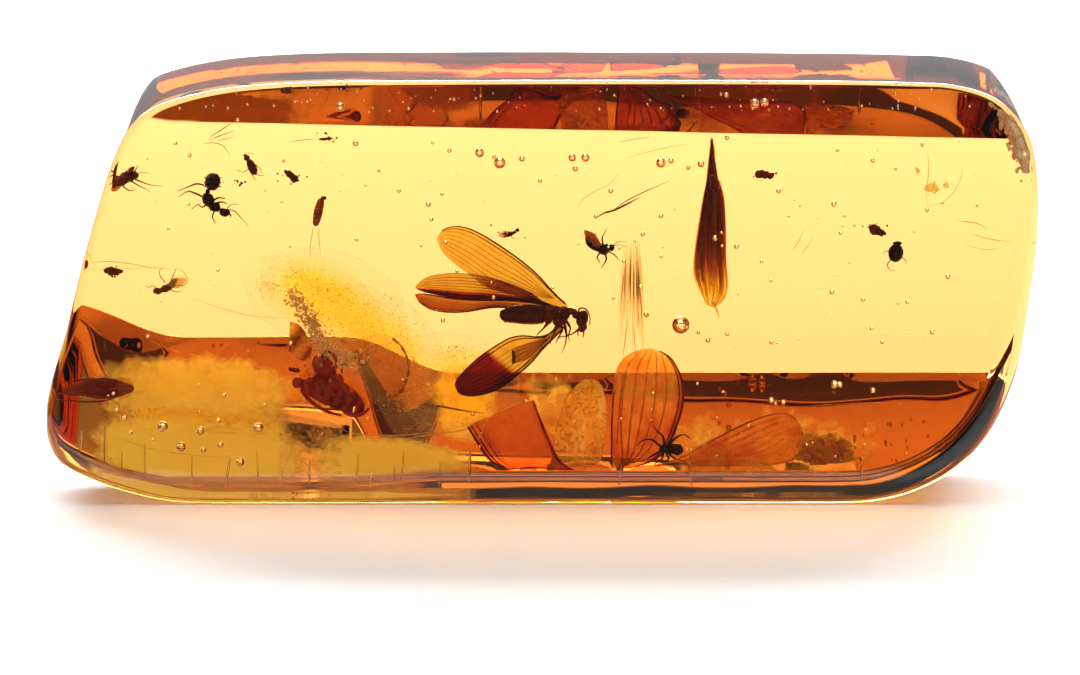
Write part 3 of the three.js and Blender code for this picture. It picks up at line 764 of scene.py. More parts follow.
def beetle():
    piece = Piece()
    spot = at_depth(layer(-16.2))
    ball(piece, spot(253.5, 166), (0.25, 0.26, 0.5), (0, -26, 0), 3, 0.03, 0.2, tone=0.35)
    tube(piece, [spot(249.5, 158.5, -0.27), spot(253.5, 166, -0.28), spot(257, 173, -0.18)],
         (0.015, 0.025, 0.012), tone=0.0)
    ball(piece, spot(248.4, 157), (0.19, 0.2, 0.15), (0, -26, 0), 2, tone=0.3)
    ball(piece, spot(246.8, 154.6), (0.12, 0.13, 0.1), detail=2, tone=0.5)
    limbs(piece, spot, (
        ([(256, 170), (260, 174, -0.2), (266, 174, -0.2)], (0.035, 0.03, 0.012), 0.7),
        ([(252, 170), (255, 176, -0.2), (258, 180, -0.2)], (0.035, 0.03, 0.012), 0.7),
        ([(251, 167), (245, 171, -0.2), (238, 168.5, -0.2)], (0.03, 0.02, 0.01), 0.8),
        ([(256, 163), (261, 167, -0.1), (264, 172, -0.1)], (0.03, 0.025, 0.01), 0.7),
        ([(247, 155), (251, 152, 0.1), (256, 153, 0.1)], (0.02, 0.016, 0.01), 0.7),
    ))
    return piece


def edge_fly():
    piece = Piece()
    spot = at_depth(layer(-22.6))
    ball(piece, spot(118, 181.5), (0.8, 0.38, 0.3), (0, -18, 0), 3, 0.1, 0.4, tone=0.45)
    ball(piece, spot(129, 176.5), (0.42, 0.36, 0.34), (0, -18, 0), 3, 0.1, 0.3, tone=0.35)
    ball(piece, spot(136.5, 174), (0.24, 0.26, 0.24), detail=3, rough=0.04, lump=0.2, tone=0.4)
    ball(piece, spot(131, 170, -0.1), (0.4, 0.2, 0.12), (0, -38, 0), 3, 0.06, 0.3, tone=0.6)
    for k, (start, end) in enumerate((((126, 174), (105, 184)), ((128, 178), (108, 190)))):
        a, b = spot(*start, -0.3 + 0.5 * k), spot(*end, -0.35 + 0.5 * k)
        drop = Vector((0.05, 0, -0.34))
        sheet(piece, [a, a.lerp(b, 0.5) - drop * 0.4, b], [a, a.lerp(b, 0.5) + drop, b], None, 0.03, (16, 8),
              1, lambda u, v: 0.55, 0.05)
    limbs(piece, spot, (
        ([(132, 176, -0.1), (142, 180, -0.25), (152, 183.5, -0.25), (164, 185, -0.2)],
         (0.05, 0.045, 0.028, 0.012), 0.5),
        ([(132, 179, -0.1), (140, 184, -0.2), (147, 187.5, -0.2), (153, 191, -0.2)],
         (0.05, 0.04, 0.025, 0.012), 0.5),
        ([(124, 184, 0), (131, 189, -0.1), (138, 188.5, -0.1)], (0.045, 0.035, 0.015), 0.5),
        ([(134, 172, 0.1), (138, 168, 0.2), (140, 164, 0.2)], (0.04, 0.035, 0.015), 0.5),
        ([(138, 173, 0), (145, 171, 0.2), (151, 172.5, 0.2)], (0.025, 0.02, 0.01), 0.5),
    ))
    return piece


def midge():
    piece = Piece()
    spot = at_depth(layer(-20.9))
    ball(piece, spot(169, 285.5), (0.5, 0.25, 0.22), (0, -26, 0), 3, 0.06, 0.25, tone=0.5)
    ball(piece, spot(159, 289), (0.24, 0.22, 0.2), detail=3, rough=0.04, lump=0.2, tone=0.4)
    ball(piece, spot(175.5, 279.5), (0.22, 0.2, 0.16), (0, -40, 0), 2, tone=0.6)
    limbs(piece, spot, (
        ([(160, 287, -0.1), (154, 284, -0.2), (150, 286, -0.2), (147, 283, -0.2)],
         (0.03, 0.03, 0.02, 0.01), 0.7),
        ([(167, 281, -0.1), (163, 276, -0.2), (161, 270, -0.2), (165, 265, -0.2)],
         (0.03, 0.03, 0.02, 0.01), 0.7),
        ([(172, 280, -0.1), (175, 273, -0.2), (178, 266, -0.2)], (0.03, 0.025, 0.012), 0.7),
        ([(176, 283, -0.1), (184, 284, -0.2), (189, 279, -0.2), (186, 271, -0.2), (181, 268, -0.2)],
         (0.03, 0.028, 0.02, 0.015, 0.01), 0.7),
        ([(172, 288, 0.1), (179, 290, 0.2), (184, 288, 0.2)], (0.03, 0.025, 0.012), 0.7),
    ))
    sheet(piece, [spot(168, 283, -0.2), spot(176, 276, -0.3), spot(188, 277, -0.3)],
          [spot(170, 286, -0.2), spot(180, 286, -0.3), spot(188, 279, -0.3)],
          None, 0.02, (16, 8), 1, lambda u, v: 0.1, 0.05)
    return piece


def gnat():
    piece = Piece()
    spot = at_depth(layer(3.2) - 0.5)
    tube(piece, [spot(587, 234.5), spot(590, 240), spot(595, 245), spot(599, 247.5)],
         (0.14, 0.27, 0.25, 0.16), 26, 14, tone=0.1 + 0.25 * np.abs(np.sin(np.linspace(0, 6 * math.pi, 26))))
    ball(piece, spot(603, 247), (0.36, 0.34, 0.34), (0, 20, 0), 3, 0.06, 0.25, tone=0.2)
    ball(piece, spot(611, 245.8), (0.18, 0.2, 0.2), detail=3, tone=0.1)
    limbs(piece, spot, (
        ([(603, 244, -0.1), (602, 236, -0.3), (605, 230, -0.3), (606, 227, -0.3)],
         (0.05, 0.05, 0.03, 0.015), 0.4),
        ([(604, 250, -0.1), (606, 257, -0.3), (603, 263, -0.3), (601, 267, -0.3)],
         (0.05, 0.055, 0.035, 0.015), 0.4),
        ([(600, 250, 0.1), (597, 256, 0.3), (600, 261, 0.3)], (0.05, 0.045, 0.02), 0.4),
        ([(607, 249, -0.1), (614, 253, -0.3), (619, 259, -0.3)], (0.045, 0.035, 0.015), 0.4),
        ([(599, 244, 0.1), (594, 237, 0.3), (596, 231, 0.3)], (0.045, 0.035, 0.015), 0.4),
        ([(612, 244, -0.1), (618, 240, -0.2), (626, 240, -0.2)], (0.022, 0.018, 0.01), 0.6),
        ([(612, 244, 0.1), (619, 243, 0.2), (627, 245, 0.2)], (0.022, 0.018, 0.01), 0.6),
    ))
    for dy in (-0.25, 0.25):
        sheet(piece, [spot(602, 244, dy), spot(594, 232, dy), spot(584, 228, dy)],
              [spot(603, 247, dy), spot(590, 243, dy), spot(584, 232, dy)],
              None, 0.02, (18, 8), 1, lambda u, v: 0.35, 0.04)
    return piece


def tiny_gnat():
    piece = Piece()
    spot = at_depth(layer(-1.9))
    ball(piece, spot(510, 232.5), (0.36, 0.15, 0.12), (0, -24, 0), 3, 0.03, 0.15, tone=0.25)
    ball(piece, spot(517.5, 228.6), 0.11, detail=2, tone=0.2)
    limbs(piece, spot, (
        ([(514, 230), (517, 227, -0.1), (518.5, 225, -0.1)], (0.03, 0.025, 0.01), 0.5),
        ([(511, 234), (513, 236.5, -0.1), (516, 237, -0.1)], (0.025, 0.02, 0.01), 0.5),
    ))
    sheet(piece, [spot(511, 231, -0.1), spot(505, 229, -0.15), spot(499, 232, -0.15)],
          [spot(511, 234, -0.1), spot(504, 236, -0.15), spot(499, 235, -0.15)],
          None, 0.02, (14, 6), 1, lambda u, v: 0.1)
    return piece


def larva():
    piece = Piece()
    spot = at_depth(layer(-12.5))
    t = np.linspace(0, 1, 40)
    size = 0.24 * np.sin(np.pi * (0.12 + 0.76 * t)) ** 0.5 * (1 + 0.09 * np.abs(np.sin(np.pi * 7 * t)))
    tube(piece, [spot(322.5, 197.5), spot(320.5, 205), spot(318.5, 214), spot(316.5, 223.5)], size, 40, 16,
         tone=0.55 + 0.25 * np.abs(np.sin(np.pi * 7 * t)))
    ball(piece, spot(324.5, 196.5), (0.17, 0.16, 0.12), detail=3, rough=0.02, lump=0.1, tone=0.35)
    for across, down in ((319, 207), (317.5, 219), (321, 201)):
        ball(piece, spot(across, down, -0.22), (0.07, 0.05, 0.08), detail=2, tone=1.0)
    # A faint trail in the resin below it.
    for start, end in (((314, 226), (311, 256)), ((319.5, 226), (322, 254))):
        hair(piece, spot, [(*start, 0), ((start[0] + end[0]) / 2 - 0.6, (start[1] + end[1]) / 2, 0),
                           (*end, 0)], 0.025, 0.2, 1)
    return piece


def oval_beetle():
    piece = Piece()
    spot = at_depth(layer(19.6))
    ball(piece, spot(894.5, 251), (0.42, 0.36, 0.52), (0, 8, 0), 4, 0.02, 0.15, tone=0.2)
    tube(piece, [spot(895, 243, -0.36), spot(894.5, 251, -0.38), spot(894, 259, -0.3)], (0.012, 0.02, 0.012),
         tone=0.7)
    ball(piece, spot(896, 241.2), (0.26, 0.24, 0.13), detail=3, tone=0.35)
    limbs(piece, spot, (
        ([(890, 257), (886, 263, -0.1), (889, 268, -0.1), (894, 268.5, -0.1)],
         (0.03, 0.03, 0.022, 0.012), 0.5),
        ([(899, 255), (904, 258, -0.1), (905, 262, -0.1)], (0.03, 0.025, 0.012), 0.6),
        ([(888, 250), (884, 249, -0.1), (882, 252, -0.1)], (0.03, 0.025, 0.012), 0.6),
    ))
    return piece


def husk_mite():
    piece = Piece()
    spot = at_depth(layer(9.5) - 0.9)
    ball(piece, spot(714, 183), (0.24, 0.2, 0.46), (0, -14, 0), 3, 0.05, 0.15, tone=0.45)
    ball(piece, spot(711.5, 175.5), (0.14, 0.14, 0.12), detail=2, tone=0.5)
    limbs(piece, spot, (
        ([(716, 180), (720, 181, -0.1), (721, 185, -0.1)], (0.025, 0.02, 0.01), 0.6),
        ([(712, 186), (709, 189, -0.1), (709, 192, -0.1)], (0.025, 0.02, 0.01), 0.6),
        ([(716, 186), (719, 189, -0.1), (718, 192, -0.1)], (0.025, 0.02, 0.01), 0.6),
    ))
    return piece


def spider():
    piece = Piece()
    spot = at_depth(layer(7.1) - 1.45)
    ball(piece, spot(675, 447), (0.46, 0.4, 0.36), (0, 12, 0), 3, 0.06, 0.25, tone=0.35)
    ball(piece, spot(664, 446), (0.32, 0.3, 0.26), (0, -8, 0), 3, 0.04, 0.2, tone=0.3)
    for k in range(4):
        ball(piece, spot(660 + 1.5 * k, 442.5, -0.26 + 0.02 * k), 0.035, detail=2, tone=0.0)
    rows = []
    for hip, knee, shin, toe in (
        ((661, 445, -0.1), (651, 437, -0.5), (642, 438, -0.4), (636, 444, -0.3)),
        ((661, 448, -0.1), (653, 453, -0.5), (646, 459, -0.4), (641, 464, -0.3)),
        ((664, 443, -0.1), (662, 433, -0.5), (656, 428, -0.4), (653, 423, -0.3)),
        ((668, 443, -0.1), (677, 434, -0.5), (684, 432, -0.4), (690, 437, -0.3)),
        ((667, 449, -0.1), (673, 457, -0.5), (681, 461, -0.4), (687, 467, -0.3)),
        ((663, 449, -0.1), (661, 459, -0.5), (656, 465, -0.4), (654, 471, -0.3)),
        ((666, 444, 0.1), (671, 436, 0.4), (675, 428, 0.4), (674, 422, 0.3)),
        ((665, 449, 0.1), (668, 460, 0.4), (665, 467, 0.4), (668, 473, 0.3)),
    ):
        rows.append(([hip, knee, shin, toe], (0.06, 0.07, 0.04, 0.02), 0.45))
    limbs(piece, spot, rows)
    return piece


# How near to the block's surface a sealed thing may come, in mm.
SEALED_MARGIN = 0.25
# Below SQUEEZE_FROM the finds are squeezed towards FIND_FOOT, so that none reaches the base.
FIND_FOOT = 0.55
SQUEEZE_FROM = 2.0


def rim_heights():
    """The lowest and the highest point of the outline along the block."""
    rim = outline()
    a, b = rim, np.roll(rim, -1, 0)
    along = np.linspace(rim[:, 0].min() + SEALED_MARGIN, rim[:, 0].max() - SEALED_MARGIN, 500)
    low, high = [], []
    for x in along:
        cross = (a[:, 0] > x) != (b[:, 0] > x)
        p, q = a[cross], b[cross]
        heights = p[:, 1] + (x - p[:, 0]) * (q[:, 1] - p[:, 1]) / (q[:, 0] - p[:, 0])
        low.append(heights.min())
        high.append(heights.max())
    return along, np.array(low), np.array(high)


RIM_ALONG, RIM_LOW, RIM_HIGH = rim_heights()


def sealed(centre, margin, rim):
    """Whether a point lies inside the block by this margin."""
    x, y, z = centre
    a, b = rim, np.roll(rim, -1, 0)
    cross = (a[:, 1] > z) != (b[:, 1] > z)
    at = a[:, 0] + (z - a[:, 1]) * (b[:, 0] - a[:, 0]) / np.where(b[:, 1] == a[:, 1], 1, b[:, 1] - a[:, 1])
    if np.sum(cross & (at > x)) % 2 == 0 or np.min(np.hypot(a[:, 0] - x, a[:, 1] - z)) < margin:
        return False
    front = FRONT + math.tan(LEAN) * z
    return front + margin < y < REAR - facets(x, z)[0] - margin


def held(piece, foot=None):
    """Keeps every point of a piece inside the block."""
    x, y, z = np.array(piece.verts, dtype=float).T
    x = np.clip(x, RIM_ALONG[0], RIM_ALONG[-1])
    if foot is not None:
        room = SQUEEZE_FROM - foot
        z = np.where(z < SQUEEZE_FROM, foot + room * np.exp((z - SQUEEZE_FROM) / room), z)
    low = np.interp(x, RIM_ALONG, RIM_LOW) + SEALED_MARGIN
    high = np.interp(x, RIM_ALONG, RIM_HIGH) - SEALED_MARGIN
    z = np.clip(z, low, np.maximum(low, high))
    front = FRONT + math.tan(LEAN) * z + SEALED_MARGIN
    y = np.clip(y, front, np.maximum(front, REAR - facets(x, z)[0] - SEALED_MARGIN))
    piece.verts = [tuple(point) for point in np.stack([x, y, z], axis=1).tolist()]
    return piece


FINE = [
    ("ant", ant, ("dark", "amber_bit"), "dark_insect"),
    ("beetle", beetle, ("brown", "amber_bit"), "dark_insect"),
    ("edge_fly", edge_fly, ("brown", "amber_bit"), "dark_insect"),
    ("midge", midge, ("brown", "amber_bit"), "dark_insect"),
    ("gnat", gnat, ("dark", "amber_bit"), "dark_insect"),
    ("tiny_gnat", tiny_gnat, ("dark", "amber_bit"), "dark_insect"),
    ("larva", larva, ("brown", "amber_bit"), "brown_case"),
    ("oval_beetle", oval_beetle, ("dark", "amber_bit"), "dark_insect"),
    ("husk_mite", husk_mite, ("mite",), "red_mite"),
    ("spider", spider, ("dark", "amber_bit"), "dark_insect"),
]


# The plant scraps, shed wings and the rest.


HUSK_FIBRES = 46
FLAKE_CRUMBS = 420
LUMP_CRUMBS = 260
BUNDLE_FIBRES = 60


def seed_husk():
    """A bundle of flat fibres round a pointed core, with a long thin tip and a torn, glowing lower end."""
    piece = Piece()
    spot = at_depth(layer(9.35))
    left = [(711, 138), (709.5, 160), (707, 182), (702, 205), (697, 235), (693.5, 262), (694.5, 275),
            (700, 290), (706, 302)]
    right = [(711.5, 138), (714, 160), (716, 175), (722.5, 195), (724.5, 225), (726, 262), (727.5, 285),
             (724, 297), (714, 306)]
    for k in range(HUSK_FIBRES):
        f = rng.uniform(0, 1)
        start = rng.uniform(0.05, 0.3) if k % 3 else 0.0
        end = rng.uniform(0.8, 1.02)
        dy = rng.uniform(-0.24, 0.24) * math.sin(math.pi * min(max(f, 0.15), 0.85))
        points = []
        for s in np.linspace(start, end, 9):
            a, b = (np.array([np.interp(s * (len(edge) - 1), range(len(edge)),
                                        [p[n] for p in edge]) for n in (0, 1)]) for edge in (left, right))
            p = a * (1 - f) + b * f + rng.normal(0, 0.35, 2)
            points.append(spot(*p, dy * min(1, 2.5 * s)))
        tone = [0.45 + rng.normal(0, 0.12)] * 3 + [0.5, 0.95, 1.0]
        width = rng.uniform(0.06, 0.13)
        tube(piece, points, (width * 0.35, width, width, width, width * 0.8, 0.015), 40, 6,
             tone=np.clip(tone, 0, 1), flat=0.5)
    tube(piece, [spot(711, 136), spot(712, 150), spot(711, 163), spot(709, 178)], (0.03, 0.14, 0.12, 0.05),
         24, 8, tone=0.55, flat=0.6)
    tube(piece, [spot(713, 300), spot(716, 307), spot(719, 317)], (0.1, 0.06, 0.012), 14, 6, tone=0.75)
    # The bare cleft in its upper half lies behind the red mite.
    sheet(piece, [spot(*p, 0.16) for p in left[2:]], [spot(*p, 0.16) for p in right[2:]], None, 0.08,
          (36, 12), 0, lambda u, v: 0.35 + 0.65 * smoothstep((u - 0.6) / 0.25), 0.08, 0.5)
    return piece


def shed_wing(spot, outline, depth, tone, routes, margin):
    """A large shed wing: two edges from its root to its tip, veins, and a thick double margin."""
    piece = Piece()
    upper, lower = outline
    middle = sheet(piece, [spot(*p) for p in upper], [spot(*p) for p in lower], depth, 0.05, (56, 26), 0,
                   tone, 0.06, 2.0)
    for v, start, end, size in routes:
        vein(piece, middle,
             [(u, 0.5 + (v - 0.5) * smoothstep((u + 0.2) / 0.7)) for u in np.linspace(start, end, 12)],
             (size * 1.3, size, size * 0.5), 1, 0.4, 22)
    for v, start, end, size in margin:
        vein(piece, middle, [(u, v) for u in np.linspace(start, end, 16)], (size, size, size, size * 0.7), 1,
             0.75, 34)
    return piece


def upright_wing():
    spot = at_depth(layer(6) - 0.5)
    upper = [(612, 492), (611, 470), (610.5, 440), (611, 410), (613, 385), (617, 365), (627, 353),
             (640, 347.5), (653, 346.5)]
    lower = [(626, 492), (640, 478), (655, 462), (668, 444), (677, 424), (683, 403), (683.5, 384), (678, 366),
             (667, 352), (653, 346.5)]
    return shed_wing(spot, (upper, lower), lambda u, v: 0.12 * math.sin(5 * v + 2 * u) - 0.25 * v * u,
                     lambda u, v: (0.35 + 0.35 * smoothstep((v - 0.86) / 0.1) + 0.25 * (1 - u)
                                   - 0.25 * smoothstep((u - 0.8) / 0.15)),
                     [(0.15, 0.02, 0.9, 0.034), (0.3, 0.05, 0.92, 0.032), (0.45, 0.05, 0.93, 0.034),
                      (0.6, 0.05, 0.92, 0.034), (0.75, 0.08, 0.9, 0.034)],
                     [(0.985, 0.02, 0.96, 0.06), (0.93, 0.05, 0.9, 0.045), (0.02, 0.05, 0.6, 0.05),
                      (0.12, 0.3, 0.75, 0.03)])


def lying_wing():
    spot = at_depth(layer(9.5) + 0.35)
    upper = [(650, 489), (664, 474), (680, 460), (700, 444), (724, 431), (749, 419), (774, 411.5), (791, 413),
             (801, 424)]
    lower = [(655, 491), (690, 492.5), (716, 492.5), (740, 491), (762, 488), (784, 477), (797, 462),
             (802.5, 443), (801, 424)]
    return shed_wing(spot, (upper, lower), lambda u, v: 0.15 * math.sin(4 * v) + 0.2 * u,
                     lambda u, v: 0.5 + 0.25 * smoothstep((v - 0.8) / 0.18) + 0.1 * math.sin(6 * u),
                     [(v, 0.02, 0.94, 0.032) for v in (0.1, 0.2, 0.3, 0.4, 0.5, 0.6, 0.7, 0.8)],
                     [(0.985, 0.05, 0.97, 0.055), (0.93, 0.1, 0.93, 0.04), (0.015, 0.03, 0.95, 0.035)])


def bract():
    """A thin dark red bract, folded along its left side, with a torn foot."""
    piece = Piece()
    spot = at_depth(layer(-1.3) - 0.45)
    middle = sheet(piece, [spot(*p) for p in ((467, 424), (490, 414), (515, 403), (533, 398))],
                   [spot(*p) for p in ((507, 493), (528, 489), (552, 492), (575, 493))],
                   lambda u, v: 0.12 * math.sin(6 * u) - 0.25 * smoothstep((0.2 - u) / 0.2),
                   0.06, (40, 40), 0,
                   lambda u, v: (0.35 + 0.3 * smoothstep((v - 0.8) / 0.2)
                                 + 0.25 * smoothstep((u - 0.85) / 0.12) - 0.2 * u * (1 - v)), 0.1, 0.9)
    for u, size in ((0.01, 0.06), (0.06, 0.04), (0.13, 0.035), (0.17, 0.02)):
        vein(piece, middle, [(u + 0.02 * math.sin(3 * v), v) for v in np.linspace(0.01, 0.97, 14)],
             (size, size * 1.2, size), 1, 0.9, 30)
    for k in range(16):
        u = 0.22 + 0.75 * k / 15
        vein(piece, middle, [(u, v) for v in np.linspace(0.03, 0.95, 8)], (0.01, 0.012, 0.01), 1, 0.4, 16)
    tube(piece, [spot(*p) for p in ((506, 492), (520, 486), (537, 480), (552, 482), (566, 488), (576, 494))],
         (0.08, 0.1, 0.12, 0.1, 0.09, 0.05), 26, 8, 1, 0.8)
    tube(piece, [spot(*p) for p in ((533, 398), (541, 420), (551, 445), (563, 472), (574, 492))],
         (0.05, 0.06, 0.06, 0.08, 0.06), 26, 8, 1, 0.85)
    return piece


def bark_flake():
    """A pale, rough, half see-through flake with crumbs along its edge."""
    piece = Piece()
    spot = at_depth(layer(2.2) + 0.5)
    upper = [(556, 492), (553, 470), (553, 445), (556, 425), (563, 402), (573, 386), (583, 378), (594, 377)]
    lower = [(590, 492), (600, 470), (604, 440), (606, 415), (605, 395), (602, 384), (598, 379), (594, 377)]
    middle = sheet(piece, [spot(*p) for p in upper], [spot(*p) for p in lower], None, 0.12, (50, 22), 0,
                   lambda u, v: 0.45 + 0.35 * math.sin(7 * u + 3 * v) * math.sin(9 * v), 0.3, 0.5)
    for _ in range(FLAKE_CRUMBS):
        u = rng.beta(1.3, 1.6)
        v = rng.beta(0.6, 0.9)
        size = rng.uniform(0.02, 0.085)
        p = middle(u, v)
        p[1] -= rng.uniform(0, 0.12)
        ball(piece, p, (size, size * 0.7, size * rng.uniform(0.5, 1.2)), detail=1 if size < 0.05 else 2,
             rough=size * 0.3, lump=size * 2, slot=1, tone=rng.uniform(0, 1))
    return piece


def bud_scale():
    """A thin round skin with a dark beaded margin on its right."""
    piece = Piece()
    spot = at_depth(layer(-9.2) + 0.55)
    top, bottom = [], []
    for k in range(13):
        a = math.pi * (1 - k / 12)
        top.append(spot(378 + 32 * math.cos(a), 366 - 35 * math.sin(a)))
        bottom.append(spot(378 + 32 * math.cos(a), 366 + 35 * math.sin(a)))
    sheet(piece, top, bottom, lambda u, v: -0.25 * math.sin(math.pi * u) * math.sin(math.pi * v), 0.05,
          (30, 24), 0, lambda u, v: 0.25 + 0.4 * smoothstep((u - 0.75) / 0.25), 0.08, 0.7)
    for k in range(34):
        a = math.radians(-58 + 3.4 * k)
        r = 1 + rng.normal(0, 0.01)
        ball(piece, spot(378 + 31 * r * math.cos(a), 366 + 34 * r * math.sin(a)), rng.uniform(0.04, 0.1),
             detail=2, rough=0.01, lump=0.05, slot=1, tone=rng.uniform(0.3, 0.9))
    return piece


def pupa():
    """A glossy dark red case with folded limbs, bright beads on its head end and body as painted highlights,
    and crumpled skin beside it.
    """
    piece = Piece()
    spot = at_depth(layer(-11.5) - 0.75)
    t = np.linspace(0, 1, 50)
    size = 0.98 * np.sin(np.pi * (0.1 + 0.8 * t)) ** 0.7 * (1 + 0.05 * np.abs(np.sin(np.pi * 6 * t)))
    tube(piece, [spot(303, 383), spot(318, 385), spot(335, 391), spot(352, 400), spot(362, 407)], size * 0.8,
         50, 24, tone=0.25 + 0.35 * np.abs(np.sin(np.pi * 6 * t)) - 0.15 * t, flat=0.85)
    ball(piece, spot(325, 366, -0.1), (0.62, 0.5, 0.85), (0, -20, 0), 4, 0.1, 0.5, tone=0.4)
    ball(piece, spot(321, 361, -0.45), (0.26, 0.16, 0.4), (0, -15, 0), 3, 0.04, 0.3, tone=0.75)
    ball(piece, spot(337, 380, -0.5), (0.4, 0.25, 0.5), (0, 30, 0), 3, 0.06, 0.3, tone=0.55)
    ball(piece, spot(350, 392, -0.6), (0.3, 0.2, 0.34), (0, 30, 0), 3, 0.05, 0.3, tone=0.6)
    ball(piece, spot(299, 380, 0), (0.3, 0.28, 0.35), (0, 40, 0), 3, 0.06, 0.3, tone=0.5)
    for points, radii in (
        ([(316, 374, -0.5), (324, 384, -0.8), (335, 393, -0.8), (347, 402, -0.7)], (0.12, 0.16, 0.13, 0.07)),
        ([(330, 372, -0.5), (339, 381, -0.8), (349, 390, -0.8), (359, 398, -0.6)], (0.12, 0.14, 0.12, 0.06)),
        ([(309, 380, -0.4), (316, 391, -0.7), (328, 400, -0.7), (340, 407, -0.6)], (0.12, 0.14, 0.11, 0.06)),
        ([(323, 352, -0.2), (329, 349, -0.4), (336, 355, -0.5), (337, 366, -0.5)], (0.08, 0.1, 0.08, 0.05)),
        ([(344, 409, -0.4), (354, 413, -0.5), (364, 411, -0.5), (370, 405, -0.4)], (0.09, 0.11, 0.1, 0.06)),
        ([(302, 388, 0), (312, 399, 0.1), (326, 408, 0.1), (342, 413, 0.1)], (0.08, 0.12, 0.1, 0.05)),
    ):
        tube(piece, [spot(*p) for p in points], radii, 26, 10, tone=(0.35, 0.55, 0.3))
    # The bright beads below, in front of the case, are painted highlights.
    for across, down, dy in ((322, 363, -0.62), (352, 388, -0.82), (331, 378, -0.7)):
        ball(piece, spot(across, down, dy), (0.1, 0.06, 0.12), detail=3, tone=1.0)
    sheet(piece, [spot(300, 372, 0.3), spot(318, 362, 0.2), spot(345, 376, 0.2), spot(368, 398, 0.2)],
          [spot(296, 384, 0.3), spot(312, 402, 0.2), spot(340, 415, 0.2), spot(368, 408, 0.2)], None, 0.05,
          (34, 20), 1, lambda u, v: 0.6, 0.35, 0.5)
    return piece


def bark_lump():
    """Pale yellow frass: a crumbly, foamy lump."""
    piece = Piece()
    spot = at_depth(layer(15.9) - 0.6)
    for across, down, dy, size in ((824, 449, 0, 0.95), (811, 441, 0, 0.7), (838, 447, 0, 0.72),
                                   (820, 463, 0.1, 0.75), (806, 457, 0, 0.55), (843, 460, 0.1, 0.5)):
        ball(piece, spot(across, down, dy), (size, size * 0.8, size * 0.8), detail=4, rough=0.28, lump=0.35,
             tone=rng.uniform(0.3, 0.6))
    for _ in range(LUMP_CRUMBS):
        a = rng.uniform(0, 2 * math.pi)
        r = rng.uniform(0.6, 1.02)
        size = rng.uniform(0.05, 0.16)
        ball(piece, spot(825 + 27 * r * math.cos(a), 451 + 20 * r * math.sin(a), rng.uniform(-0.7, 0.5)),
             (size, size, size * 0.8), detail=2, rough=size * 0.3, lump=size, tone=rng.uniform(0.1, 1.0))
    return piece


def fibre_bundle():
    """Pale parallel fibres that hang like a veil and fray below."""
    piece = Piece()
    spot = at_depth(layer(4.85) + 0.5)
    for k in range(BUNDLE_FIBRES):
        f = rng.uniform(0, 1)
        top = spot(630 + 16 * (f - 0.4), 238 + rng.uniform(-3, 26), rng.uniform(-0.12, 0.12))
        down = rng.uniform(300, 330) if k % 4 else rng.uniform(330, 356)
        low = spot(618 + 26 * f + rng.normal(0, 0.5), down, rng.uniform(-0.12, 0.12))
        bend = top.lerp(low, 0.5) + Vector((rng.normal(0, 0.03), 0, 0))
        tube(piece, [top, bend, low], (0.012, 0.035, 0.045, 0.03, 0.01), 16, 5,
             tone=np.clip(rng.normal(0.4, 0.25) + np.array([0, 0, 0.3]), 0, 1))
    return piece


def resin_drop():
    """An older drop of resin with a glossy, folded brown filling."""
    piece = Piece()
    spot = at_depth(layer(-24.3))
    tube(piece, [spot(66, 388), spot(85, 387), spot(104, 386), spot(122, 386), spot(134, 386)],
         (0.12, 0.42, 0.5, 0.55, 0.2), 40, 18, tone=(0.3, 0.5, 0.7, 0.4), flat=0.9)
    for points, radii in (
        ([(74, 383, -0.3), (92, 379, -0.5), (110, 378, -0.5), (126, 381, -0.4)], (0.06, 0.16, 0.18, 0.08)),
        ([(80, 391, -0.3), (98, 394, -0.5), (114, 393, -0.5), (128, 388, -0.4)], (0.06, 0.14, 0.16, 0.08)),
        ([(96, 386, -0.55), (108, 387, -0.62), (120, 385, -0.55)], (0.06, 0.12, 0.06)),
        ([(58, 391, 0), (72, 392, -0.1), (90, 393, -0.1)], (0.03, 0.07, 0.05)),
        ([(60, 397, 0), (80, 399, -0.1), (100, 399, -0.1), (116, 396, 0)], (0.02, 0.05, 0.06, 0.03)),
        ([(64, 381, 0), (80, 378, 0), (98, 375, 0)], (0.02, 0.05, 0.03)),
    ):
        tube(piece, [spot(*p) for p in points], radii, 24, 8, tone=(0.2, 0.6, 0.3))
    ball(piece, spot(124, 385), (0.62, 0.6, 0.62), detail=4, rough=0.05, lump=0.5, slot=1, tone=0.2)
    return piece


